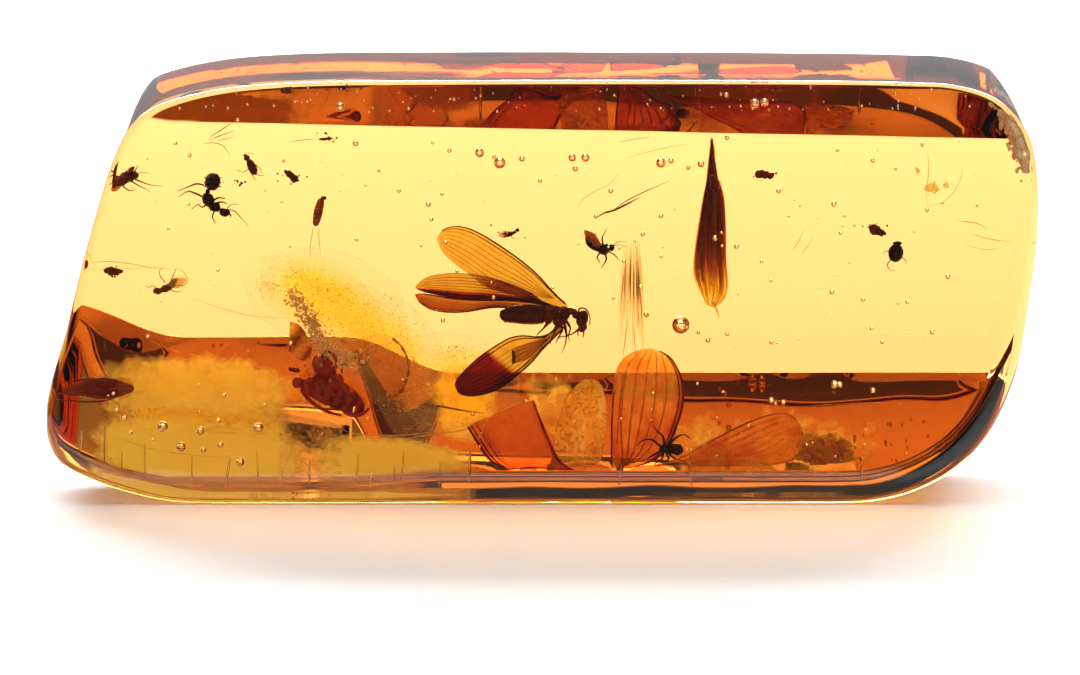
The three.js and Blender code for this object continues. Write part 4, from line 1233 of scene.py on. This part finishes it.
MATERIALS.update({
    "husk": film("husk", [(0.45, 0.15, 0.04), (0.8, 0.45, 0.14), (0.93, 0.7, 0.3), (1.0, 0.94, 0.5)], 0.25,
                 0.5, 0.3, back=0.7),
    "mite": skin("red_mite", [(0.03, 0.002, 0.003), (0.16, 0.01, 0.014), (0.4, 0.04, 0.03)], 0.12, 0.6, 0.25,
                 0.005, 0.4),
    "shed": film("shed_wing", [(1.0, 0.9, 0.5), (0.97, 0.72, 0.28), (0.86, 0.45, 0.12), (0.6, 0.22, 0.06)],
                 0.9, 1.1, 0.3, back=0.8),
    "shed_vein": film("shed_vein", [(0.8, 0.42, 0.12), (0.5, 0.13, 0.03), (0.25, 0.03, 0.01)], 0.5, 0.3, 0.3),
    "bract": film("bract", [(0.98, 0.7, 0.3), (0.9, 0.45, 0.14), (0.6, 0.14, 0.04)], 0.9, 0.7, 0.3, back=0.7),
    "bract_vein": film("bract_vein", [(0.6, 0.15, 0.03), (0.35, 0.04, 0.01), (0.15, 0.01, 0.004)], 0.5,
                       0.3, 0.5),
    "flake": film("flake", [(0.9, 0.66, 0.2), (1.0, 0.84, 0.35), (1.0, 0.96, 0.7)], 0.35, 0.9, 0.4,
                  back=0.85),
    "crumb": film("crumb", [(0.8, 0.6, 0.2), (0.95, 0.85, 0.45), (1.0, 0.97, 0.8)], 0.15, 0.6, 0.8,
                  back=0.55),
    "skin": film("round_skin", [(1.0, 0.97, 0.85), (0.97, 0.88, 0.6), (0.85, 0.6, 0.25)], 0.7, 0.5, 0.04),
    "case": film("case", [(0.2, 0.02, 0.006), (0.45, 0.06, 0.01), (0.75, 0.22, 0.03), (0.95, 0.6, 0.2)], 0.5,
                 0.4, 0.45, 0.12),
    "lump": film("lump", [(0.85, 0.6, 0.08), (1.0, 0.85, 0.25), (1.0, 0.97, 0.6)], 0.2, 0.6, 0.85, back=0.6),
    "fibre": film("fibre", [(1.0, 1.0, 0.97), (0.99, 0.97, 0.9), (0.97, 0.91, 0.75)], 0.4, 0.3, 0.1,
                  back=0.6),
    "drop": film("old_resin", [(0.75, 0.35, 0.08), (0.5, 0.13, 0.02), (0.25, 0.04, 0.01)], 0.4, 0.7,
                 0.35, 0.08),
    "drop_skin": film("old_resin_skin", [(0.98, 0.85, 0.45), (0.9, 0.6, 0.2)], 0.6, 0.6, 0.12, 0.05),
})
FINE += [
    ("seed_husk", seed_husk, ("husk",), "husk"),
    ("upright_wing", upright_wing, ("shed", "shed_vein"), "shed_wing"),
    ("lying_wing", lying_wing, ("shed", "shed_vein"), "shed_wing"),
    ("bract", bract, ("bract", "bract_vein"), "bract"),
    ("bark_flake", bark_flake, ("flake", "crumb"), "bark"),
    ("bud_scale", bud_scale, ("skin", "case"), "bud_scale"),
    ("pupa", pupa, ("case", "skin"), "brown_case"),
    ("bark_lump", bark_lump, ("lump",), "bark"),
    ("fibre_bundle", fibre_bundle, ("fibre",), "fibre"),
    ("resin_drop", resin_drop, ("drop", "drop_skin"), "old_resin"),
]
for name, build, surfaces, slot in FINE:
    held(build(), FIND_FOOT).make(name + "_fine", [MATERIALS[key] for key in surfaces], slot, (name,))


# What the solids leave out: the cloud, the glow low in the block, threads, flecks and crumbs.
# Each puff of the cloud: across and down in the photograph, depth, half width and half height
# in pixels, share of whitish foam.
PUFFS = [
    (298, 272, -0.6, 20, 13, 0.1), (318, 285, -0.4, 22, 14, 0.15),
    (345, 292, 0.0, 24, 16, 0.1), (375, 305, 0.3, 26, 16, 0.0),
    (400, 325, 0.5, 20, 18, 0.0), (322, 318, -0.8, 16, 14, 0.3),
    (352, 330, -0.3, 22, 14, 0.1), (385, 350, 0.2, 24, 14, 0.0),
    (412, 362, 0.4, 16, 22, 0.0), (405, 400, 0.6, 20, 18, 0.0),
    (428, 425, 0.8, 22, 12, 0.0), (272, 285, 0.0, 14, 9, 0.0),
    (455, 352, 0.9, 26, 8, 0.0), (455, 420, 1.0, 26, 9, 0.0),
]
# Sheets of haze: upper and lower edge across and down in the photograph, depth, strength.
HAZES = [
    ([(240, 262), (290, 246), (350, 252), (400, 282)], [(252, 312), (300, 340), (360, 372), (420, 380)],
     -1.6, 0.8),
    ([(262, 255), (310, 248), (350, 270), (380, 300)], [(262, 300), (300, 322), (340, 340), (390, 352)],
     -0.8, 0.9),
    ([(318, 282), (370, 284), (420, 310), (446, 350)], [(322, 350), (370, 392), (400, 436), (440, 446)],
     0.4, 1.2),
    ([(400, 336), (440, 330), (480, 334), (520, 352)], [(404, 410), (440, 436), (480, 440), (520, 420)],
     1.5, 1.1),
]
CREST = [(293, 292), (301, 302), (309, 313), (317, 328), (327, 345), (341, 354), (356, 358)]
PUFF_CRUMBS = 150
CREST_CRUMBS = 620


def cloud():
    """A golden haze of crumbs round a whitish foamy crest, left by decay."""
    piece = Piece()
    for across, down, y, wide, high, foam in PUFFS:
        spot = at_depth(y - 1.2)
        for _ in range(PUFF_CRUMBS):
            size = rng.uniform(0.012, 0.045)
            centre = spot(across + rng.normal(0, 0.55) * wide, down + rng.normal(0, 0.55) * high,
                          rng.normal(0, 0.5))
            ball(piece, centre, (size, size * 0.7, size), detail=1, slot=1 if rng.uniform() < foam else 0,
                 tone=rng.uniform(0.3, 1))
    for upper, lower, y, strength in HAZES:
        spot = at_depth(y)
        sheet(piece, [spot(*p) for p in upper], [spot(*p) for p in lower], None, 0.03, (60, 34), 2,
              lambda u, v: strength * smoothstep(min(u, 1 - u) / 0.42) * smoothstep(min(v, 1 - v) / 0.42),
              0.5, 0.8)
    spot = at_depth(-2.2)
    ridge = curve([spot(*p) for p in CREST], 60)
    for _ in range(CREST_CRUMBS):
        at = Vector(ridge[rng.integers(0, 60)])
        at += Vector((rng.normal(0, 0.24), rng.normal(0, 0.16), rng.normal(0, 0.22)))
        size = rng.uniform(0.025, 0.1)
        ball(piece, at, (size, size * 0.8, size), detail=2, rough=size * 0.3, lump=size * 2, slot=1,
             tone=rng.uniform(0.2, 1))
    # A crumpled golden fold hangs from the crest.
    spot = at_depth(-2.0)
    sheet(piece, [spot(291, 320), spot(299, 322), spot(306, 330), spot(313, 342)],
          [spot(290, 348), spot(296, 354), spot(304, 358), spot(312, 356)], None, 0.05, (24, 18), 3,
          lambda u, v: 0.4 + 0.3 * math.sin(9 * u + 5 * v), 0.45, 0.45)
    return piece


# Thin veils low in the block are sheets whose golden colour, lit from behind, paints its glow. Each has its
# upper edge and its lower edge across and down in the photograph, each with a depth, and a strength.
VEIL_THICK = 0.03
VEIL_MARGIN = 0.4
GLOW_VEILS = [
    ([(40, 396), (150, 388), (240, 396), (350, 414)], 4.6, [(74, 478), (160, 494), (250, 496), (345, 496)],
     0.1, 1.7),
    ([(280, 410), (350, 418), (420, 426), (500, 430)], 4.2, [(280, 496), (360, 496), (430, 496), (500, 496)],
     0.1, 1.5),
    ([(40, 330), (150, 336), (260, 340), (350, 372)], 5.6, [(50, 424), (150, 424), (240, 430), (350, 446)],
     4.0, 0.95),
    ([(410, 340), (455, 326), (480, 326), (516, 340)], 2.2, [(414, 440), (458, 452), (482, 452), (512, 440)],
     1.8, 0.7),
    ([(500, 350), (540, 346), (566, 348), (600, 354)], 2.0, [(502, 440), (542, 446), (562, 446), (598, 440)],
     1.6, 0.5),
    ([(560, 380), (700, 380), (850, 380), (980, 376)], 3.6, [(560, 496), (700, 497), (850, 496), (940, 480)],
     0.0, 0.52),
]


def veils():
    piece = Piece()
    for top, top_y, bottom, bottom_y, strength in GLOW_VEILS:
        def tone(u, v):
            return (strength * smoothstep(min(u, 1 - u) / 0.4)
                    * smoothstep(v / 0.45) * smoothstep((1 - v) / 0.2))
        high, low = at_depth(top_y), at_depth(bottom_y)
        first = len(piece.verts)
        sheet(piece, [high(*p) for p in top], [low(*p) for p in bottom], None, VEIL_THICK, (60, 24), 0, tone,
              0.1, 1.2)
        # A veil stays inside the block: no lower than its foot and in front of the rear facets.
        half = (len(piece.verts) - first) // 2
        for k in range(first, len(piece.verts)):
            x, y, z = piece.verts[k]
            z = max(z, VEIL_MARGIN)
            limit = REAR - facets(x, z)[0] - VEIL_MARGIN - (VEIL_THICK if k - first < half else 0)
            piece.verts[k] = (x, min(y, limit), z)
    return piece


# Threads: points across and down in the photograph, depth, radius in mm, how dark.
THREADS = [
    ([(212, 136), (222, 130), (234, 122)], -2.4, 0.028, 0.9),
    ([(212, 139), (225, 134), (236, 130)], -2.4, 0.024, 0.9),
    ([(220, 140), (236, 136)], -2.4, 0.02, 0.8),
    ([(205, 143), (215, 142), (225, 145), (232, 155)], -2.4, 0.022, 0.8),
    ([(86, 266), (103, 260), (125, 261), (153, 266), (181, 268)], -1.8, 0.016, 0.6),
    ([(92, 268), (120, 267), (160, 265)], 0.2, 0.012, 0.3),
    ([(193, 296), (225, 307), (254, 314), (292, 316)], 0.4, 0.015, 0.35),
    ([(619, 141), (635, 138), (650, 136)], -1.0, 0.02, 0.4),
    ([(626, 157), (655, 149), (686, 143)], -1.0, 0.016, 0.3),
    ([(577, 207), (583, 198), (594, 190), (607, 184), (620, 171)], -0.8, 0.018, 0.4),
    ([(596, 217), (603, 212), (613, 209), (626, 203), (639, 196)], -2.2, 0.06, 0.75),
    ([(610, 211), (627, 199), (645, 190), (668, 180)], -2.1, 0.03, 0.7),
    ([(291, 141), (305, 139), (318, 138)], -1.5, 0.02, 0.5),
    ([(788, 405), (830, 402), (870, 400), (901, 401)], -2.5, 0.012, 0.15),
    ([(925, 150), (926, 170), (924, 190), (925, 205)], -3.2, 0.018, 0.35),
    ([(925, 205), (938, 202), (950, 192), (957, 180), (960, 168)], -3.2, 0.02, 0.3),
    ([(400, 437), (433, 432), (466, 427), (502, 414), (527, 409)], 1.2, 0.035, 0.1),
    # The long pale arc below is a light line put where light glints along a flow line: a painted glint.
    ([(308, 400), (325, 417), (350, 430), (390, 433), (430, 430), (475, 420), (520, 400)], 1.8, 0.022, 0.15),
    ([(418, 402), (440, 404), (462, 408), (484, 411)], 0.5, 0.05, 0.7),
    ([(955, 219), (975, 222), (985, 227)], -1.5, 0.02, 0.5),
    ([(968, 232), (990, 238), (1010, 240)], -1.5, 0.018, 0.5),
    ([(962, 243), (985, 248), (1002, 245)], -1.5, 0.015, 0.45),
    ([(790, 250), (797, 240), (803, 228)], -2.0, 0.03, 0.05),
    ([(800, 252), (806, 245), (811, 236)], -2.0, 0.022, 0.05),
    ([(627, 317), (625, 335), (622, 358)], -1.9, 0.02, 0.8),
    ([(633, 322), (634, 338), (635, 353)], -1.9, 0.02, 0.8),
    ([(638, 309), (637, 327)], -1.9, 0.018, 0.8),
    ([(105, 428), (140, 443), (190, 452), (230, 455)], -2.0, 0.015, 0.3),
    ([(150, 338), (175, 348), (215, 357)], 1.0, 0.014, 0.2),
    ([(205, 372), (225, 345), (240, 335)], 1.2, 0.01, 0.1),
    ([(212, 378), (238, 350)], 1.2, 0.01, 0.1),
]
# Flecks: across, down, depth, half length and half height in mm, turn in degrees, how dark.
FLECKS = [
    (293, 175, -2.0, 0.48, 0.2, 35, 0.75), (115, 270, -1.6, 0.55, 0.22, 5, 0.5),
    (327, 138, -1.5, 0.4, 0.08, -5, 0.7), (243, 182, -1.6, 0.07, 0.07, 0, 0.9),
    (763, 174, -1.8, 0.55, 0.2, 5, 0.55), (875, 229, -2.2, 0.5, 0.24, 25, 0.75),
    (356, 82, -4.6, 0.8, 0.16, -6, 0.9), (345, 88, -4.7, 0.3, 0.14, -20, 0.9),
    (872, 441, -1.0, 0.1, 0.08, 0, 0.0), (943, 184, -3.0, 0.16, 0.2, 0, 0.0),
    (915, 170, -3.0, 0.12, 0.18, 0, 0.0), (930, 186, -2.6, 0.35, 0.3, 0, 0.05),
    (289, 92, -4.6, 0.35, 0.1, 0, 0.6), (505, 232, -0.5, 0.1, 0.08, 0, 0.7),
]

DUST_PER_FLECK = 9


def threads():
    """Hairs, hairlines, twigs, a pale arc that is a painted glint, flecks and dust."""
    piece = Piece()
    for route, y, size, dark in THREADS:
        spot = at_depth(y)
        tube(piece, [spot(*p) for p in route], (size * 0.3, size, size * 0.9, size * 0.3), 24, 6,
             slot=0 if dark >= 0.5 else 1, tone=dark)
    for across, down, y, long, high, turn, dark in FLECKS:
        ball(piece, seen(across, down, y), (long, high * 0.5, high), (0, turn, 0), 4, high * 0.6, high * 1.2,
             0 if dark >= 0.5 else 2, dark)
        if dark < 0.5:
            continue
        for _ in range(DUST_PER_FLECK):
            size = rng.uniform(0.03, 0.08)
            spread = rng.normal(0, 6, 2)
            ball(piece, seen(across + spread[0] * 1.3, down + spread[1] * 0.6, y + rng.normal(0, 0.1)), size,
                 detail=1, tone=dark)
    return piece


CRUST_GRAINS = 260


def crust():
    """Whitish crumbs at the upper right, where the photograph shows a chip with a crumbly rind."""
    piece = Piece()
    rim = outline()
    for _ in range(CRUST_GRAINS):
        f = rng.uniform(0, 1)
        across = 985 + 36 * f ** 0.7 + rng.normal(0, 3)
        down = 98 + 72 * f ** 1.4 + rng.normal(0, 4)
        size = rng.uniform(0.06, 0.26)
        centre = seen(across, down, rng.uniform(-4.0, -0.5))
        tone = rng.uniform(0, 1)
        if sealed(centre, SEALED_MARGIN + 0.8 * size, rim):
            ball(piece, centre, (size * 0.6, size, size), detail=2, rough=size * 0.35, lump=size, tone=tone)
    return piece


EXTRAS = [
    ("decay_cloud", cloud, ("gold_crumb", "white_crumb", "gold_haze", "gold_fold"), "bark"),
    # The veils are sheets whose golden colour paints the glow low in the block.
    ("glow_veils", veils, ("glow",), "old_resin"),
    ("threads_and_dust", threads, ("thread", "pale_thread_and_glint", "spark"), "fibre"),
    ("crust", crust, ("white_crumb",), "bark"),
]
MATERIALS.update({
    "gold_crumb": film("gold_crumb", [(0.9, 0.6, 0.1), (1.0, 0.85, 0.2), (1.0, 0.95, 0.4)], 0.3, 0.6, 0.4,
                       back=0.8),
    "white_crumb": film("white_crumb", [(1.0, 0.86, 0.62), (1.0, 0.96, 0.88), (1.0, 1.0, 1.0)], 0.2, 0.5, 0.9,
                        back=0.45),
    "gold_haze": film("gold_haze", [(1.0, 1.0, 1.0), (1.0, 0.99, 0.9), (1.0, 0.97, 0.68), (1.0, 0.94, 0.5)],
                      0.22, 1.1, 0.05, back=0.8),
    "gold_fold": film("gold_fold", [(0.5, 0.22, 0.02), (0.9, 0.6, 0.1), (1.0, 0.95, 0.6)], 0.25, 0.9, 0.5,
                      0.12, back=0.5),
    # The veils' golden colour, lit from behind, is a painted glow.
    "glow": film("painted_glow", [(1.0, 0.72, 0.1), (1.0, 0.8, 0.16), (1.0, 0.9, 0.28)], 1.3, 1.1, 0.8,
                 patchy=True, back=0.95),
    "thread": skin("thread", [(0.5, 0.25, 0.05), (0.2, 0.05, 0.01), (0.05, 0.012, 0.004)], 0.2, 0.4, 0.4,
                   0.005, 0.1),
    # Pale threads; the long pale arc drawn in it is a painted glint.
    "pale_thread_and_glint": film("pale_thread_and_glint", [(1.0, 0.95, 0.7), (0.85, 0.6, 0.2), (0.5, 0.25, 0.05)], 0.5, 0.2, 0.6,
                        back=0.6),
    "spark": film("spark", [(1.0, 0.95, 0.6), (1.0, 0.8, 0.25), (0.9, 0.5, 0.08)], 0.3, 0.3, 0.6, 0.1,
                  back=0.7),
})
for name, build, surfaces, slot in EXTRAS:
    held(build()).make(name, [MATERIALS[key] for key in surfaces], slot)


# Bubbles: across and down in the photograph, radius in mm, depth.
BUBBLES = [
    (165, 424, 0.3, -4.5), (183, 444, 0.27, -4.2), (202, 428, 0.24, -3.8), (205, 447, 0.17, -4.6),
    (220, 418, 0.13, -4.4), (222, 442, 0.18, -4.0), (260, 425, 0.28, -4.1), (242, 459, 0.24, -4.3),
    (309, 460, 0.16, -4.0), (127, 415, 0.14, -4.4), (133, 430, 0.12, -4.6), (155, 437, 0.1, -4.8),
    (500, 162, 0.33, -3.4), (480, 152, 0.26, -3.2), (522, 158, 0.17, -3.0), (572, 157, 0.22, -3.4),
    (585, 157, 0.24, -3.6), (660, 162, 0.28, -3.2), (670, 160, 0.16, -3.3), (700, 163, 0.2, -3.0),
    (777, 190, 0.14, -3.2), (832, 203, 0.16, -3.5), (429, 203, 0.15, -3.0), (432, 218, 0.12, -3.0),
    (646, 313, 0.14, -3.6), (680, 323, 0.5, -3.2), (770, 398, 0.17, -4.2), (782, 400, 0.14, -4.2),
    (833, 382, 0.2, -4.0), (838, 382, 0.15, -4.1), (871, 388, 0.14, -4.0), (753, 103, 0.26, -3.2),
    (763, 102, 0.22, -3.3), (729, 84, 0.15, -3.0), (725, 95, 0.13, -3.0), (342, 107, 0.26, -4.6),
    (357, 143, 0.16, -4.4), (707, 338, 0.15, -4.0), (726, 332, 0.12, -4.1), (645, 312, 0.13, -4.6),
    (575, 168, 0.16, -4.8), (540, 180, 0.12, -4.9), (610, 190, 0.14, -5.0), (660, 215, 0.13, -4.8),
    (735, 245, 0.14, -4.7), (760, 260, 0.11, -4.9), (830, 290, 0.15, -4.6), (905, 300, 0.13, -4.8),
    (945, 275, 0.14, -4.7), (880, 340, 0.12, -4.5), (930, 330, 0.15, -4.4), (770, 340, 0.13, -4.6),
    (640, 285, 0.12, -5.0), (660, 255, 0.1, -5.0), (400, 190, 0.12, -5.0), (450, 150, 0.13, -4.9),
    (380, 170, 0.1, -5.0), (240, 120, 0.12, -4.8), (870, 160, 0.12, -4.9), (835, 150, 0.1, -5.0),
]
BUBBLES_BELOW = [83, 107, 124, 147, 194, 230, 259, 282, 310, 358, 372, 395, 403, 440, 470, 620, 690, 860]
# How far the tiny bubbles stay from the block's surface, in mm.
TINY_MARGIN = 0.3
# Each patch: across, down and least radius at its start, across and down at its end,
# largest radius, how many.
TINY_BUBBLES = [
    ((130, 84, 0.015), (980, 112), 0.08, 230), ((120, 135, 0.02), (990, 350), 0.13, 190),
    ((90, 375, 0.015), (930, 470), 0.1, 130),
]


def clear_amber():
    """The block as one closed surface, with its gas bubbles as hollows that face inwards."""
    piece = Piece()
    rim = outline()
    piece.add(*block())
    for across, down, radius, y in BUBBLES:
        ball(piece, seen(across, down, y), radius, detail=3, inside_out=True)
    # Long thin bubbles stand up from the lower edge.
    for across in BUBBLES_BELOW:
        tall, wide = rng.uniform(0.3, 1.2), rng.uniform(0.035, 0.09)
        foot = 488 - 26 * smoothstep((165 - across) / 90)
        centre = seen(across, foot - tall * PIXELS, rng.uniform(-5.5, -3.0))
        # Each one ends above the block's lower edge.
        centre.z = max(centre.z, float(np.interp(centre.x, RIM_ALONG, RIM_LOW)) + tall + 2 * SEALED_MARGIN)
        ball(piece, centre, (wide, wide, tall), (0, rng.normal(0, 4), 0), 3, inside_out=True)
    # Tiny ones: many along the top, fewer in the rest.
    for low, high, most, count in TINY_BUBBLES:
        for _ in range(count):
            size = low[2] + (most - low[2]) * rng.uniform() ** 3
            centre = seen(rng.uniform(low[0], high[0]), rng.uniform(low[1], high[1]), rng.uniform(-6.2, -4.6))
            if sealed(centre, size + TINY_MARGIN, rim):
                ball(piece, centre, (size, size, size * rng.uniform(0.9, 1.3)), detail=2, inside_out=True)
    return piece


def clear_material():
    material = bpy.data.materials.new("clear_amber")
    material.use_nodes = True
    nodes = material.node_tree.nodes
    shader = nodes["Principled BSDF"]
    shader.inputs["Base Color"].default_value = (1, 1, 1, 1)
    shader.inputs["Transmission Weight"].default_value = 1
    shader.inputs["Roughness"].default_value = 0
    shader.inputs["IOR"].default_value = AMBER_IOR
    volume = nodes.new("ShaderNodeVolumeAbsorption")
    # The most absorbed colour takes up 0.98 of the density, so that none is cut off at 0.
    density = max(ABSORPTION) / 0.98
    volume.inputs["Density"].default_value = density
    volume.inputs["Color"].default_value = (*(1 - k / density for k in ABSORPTION), 1)
    material.node_tree.links.new(volume.outputs[0], nodes["Material Output"].inputs["Volume"])
    return material


clear_amber().make("clear_amber", [clear_material()], "amber", ("amber_front", "amber_back"), outward=False)


# The stage


def stage():
    size = 1.5
    mesh = bpy.data.meshes.new("floor")
    mesh.from_pydata([(-size, -size, 0), (size, -size, 0), (size, size, 0), (-size, size, 0)], [],
                     [(0, 1, 2, 3)])
    floor = bpy.data.objects.new("floor", mesh)
    floor.location.z = -0.05 * MM
    bpy.context.scene.collection.objects.link(floor)
    material = bpy.data.materials.new("floor")
    material.use_nodes = True
    shader = material.node_tree.nodes["Principled BSDF"]
    shader.inputs["Base Color"].default_value = (0.86, 0.86, 0.86, 1)
    shader.inputs["Roughness"].default_value = 0.9
    mesh.materials.append(material)

    world = bpy.data.worlds.new("studio")
    bpy.context.scene.world = world
    world.use_nodes = True
    nodes, links = world.node_tree.nodes, world.node_tree.links
    background = nodes["Background"]
    background.inputs["Color"].default_value = (1, 0.98, 0.96, 1)
    axes = nodes.new("ShaderNodeSeparateXYZ")
    links.new(nodes.new("ShaderNodeTexCoord").outputs["Generated"], axes.inputs[0])

    def ramp(axis, start, end, low, high):
        node = nodes.new("ShaderNodeMapRange")
        node.interpolation_type = "SMOOTHSTEP"
        links.new(axes.outputs[axis], node.inputs["Value"])
        for name, value in (("From Min", start), ("From Max", end), ("To Min", low), ("To Max", high)):
            node.inputs[name].default_value = value
        return node.outputs[0]

    total = nodes.new("ShaderNodeMath")
    total.operation = "MULTIPLY_ADD"
    links.new(ramp("Y", -0.2, 0.7, 0.0, 1.15), total.inputs[0])
    links.new(ramp("Z", 0.1, 0.5, 0.25, 1.0), total.inputs[1])
    total.inputs[2].default_value = 0.12
    links.new(total.outputs[0], background.inputs["Strength"])

    def light(name, elevation, distance, wide, high, watts, across=0.0):
        lamp = bpy.data.lights.new(name, "AREA")
        lamp.shape = "RECTANGLE"
        lamp.size = wide
        lamp.size_y = high
        lamp.energy = watts
        turn = math.radians(elevation)
        direction = Vector((0, math.cos(turn), math.sin(turn)))
        ob = bpy.data.objects.new(name, lamp)
        ob.location = direction * distance + Vector((across, 0, 0))
        ob.rotation_euler = direction.to_track_quat("Z", "Y").to_euler()
        bpy.context.scene.collection.objects.link(ob)

    light("key", 32, 0.6, 0.6, 0.25, 10)
    light("strip", 95, 0.45, 0.5, 0.05, 0.4)
    light("fill", 120, 0.7, 0.3, 0.3, 0.5)
    light("overhead", 83.7, 0.453, 0.2, 0.12, 0.11, -0.028)
    bpy.context.scene.view_settings.view_transform = "Standard"


def camera():
    distance = 0.9
    view_width = 0.0601
    elevation = math.radians(8.5)
    data = bpy.data.cameras.new("camera")
    data.lens = data.sensor_width * distance / view_width
    ob = bpy.data.objects.new("camera", data)
    direction = Vector((0, -math.cos(elevation), math.sin(elevation)))
    ob.location = Vector((-0.17, 0, 7.98)) * MM + direction * distance
    ob.rotation_euler = direction.to_track_quat("Z", "Y").to_euler()
    bpy.context.scene.collection.objects.link(ob)
    bpy.context.scene.camera = ob


stage()
camera()
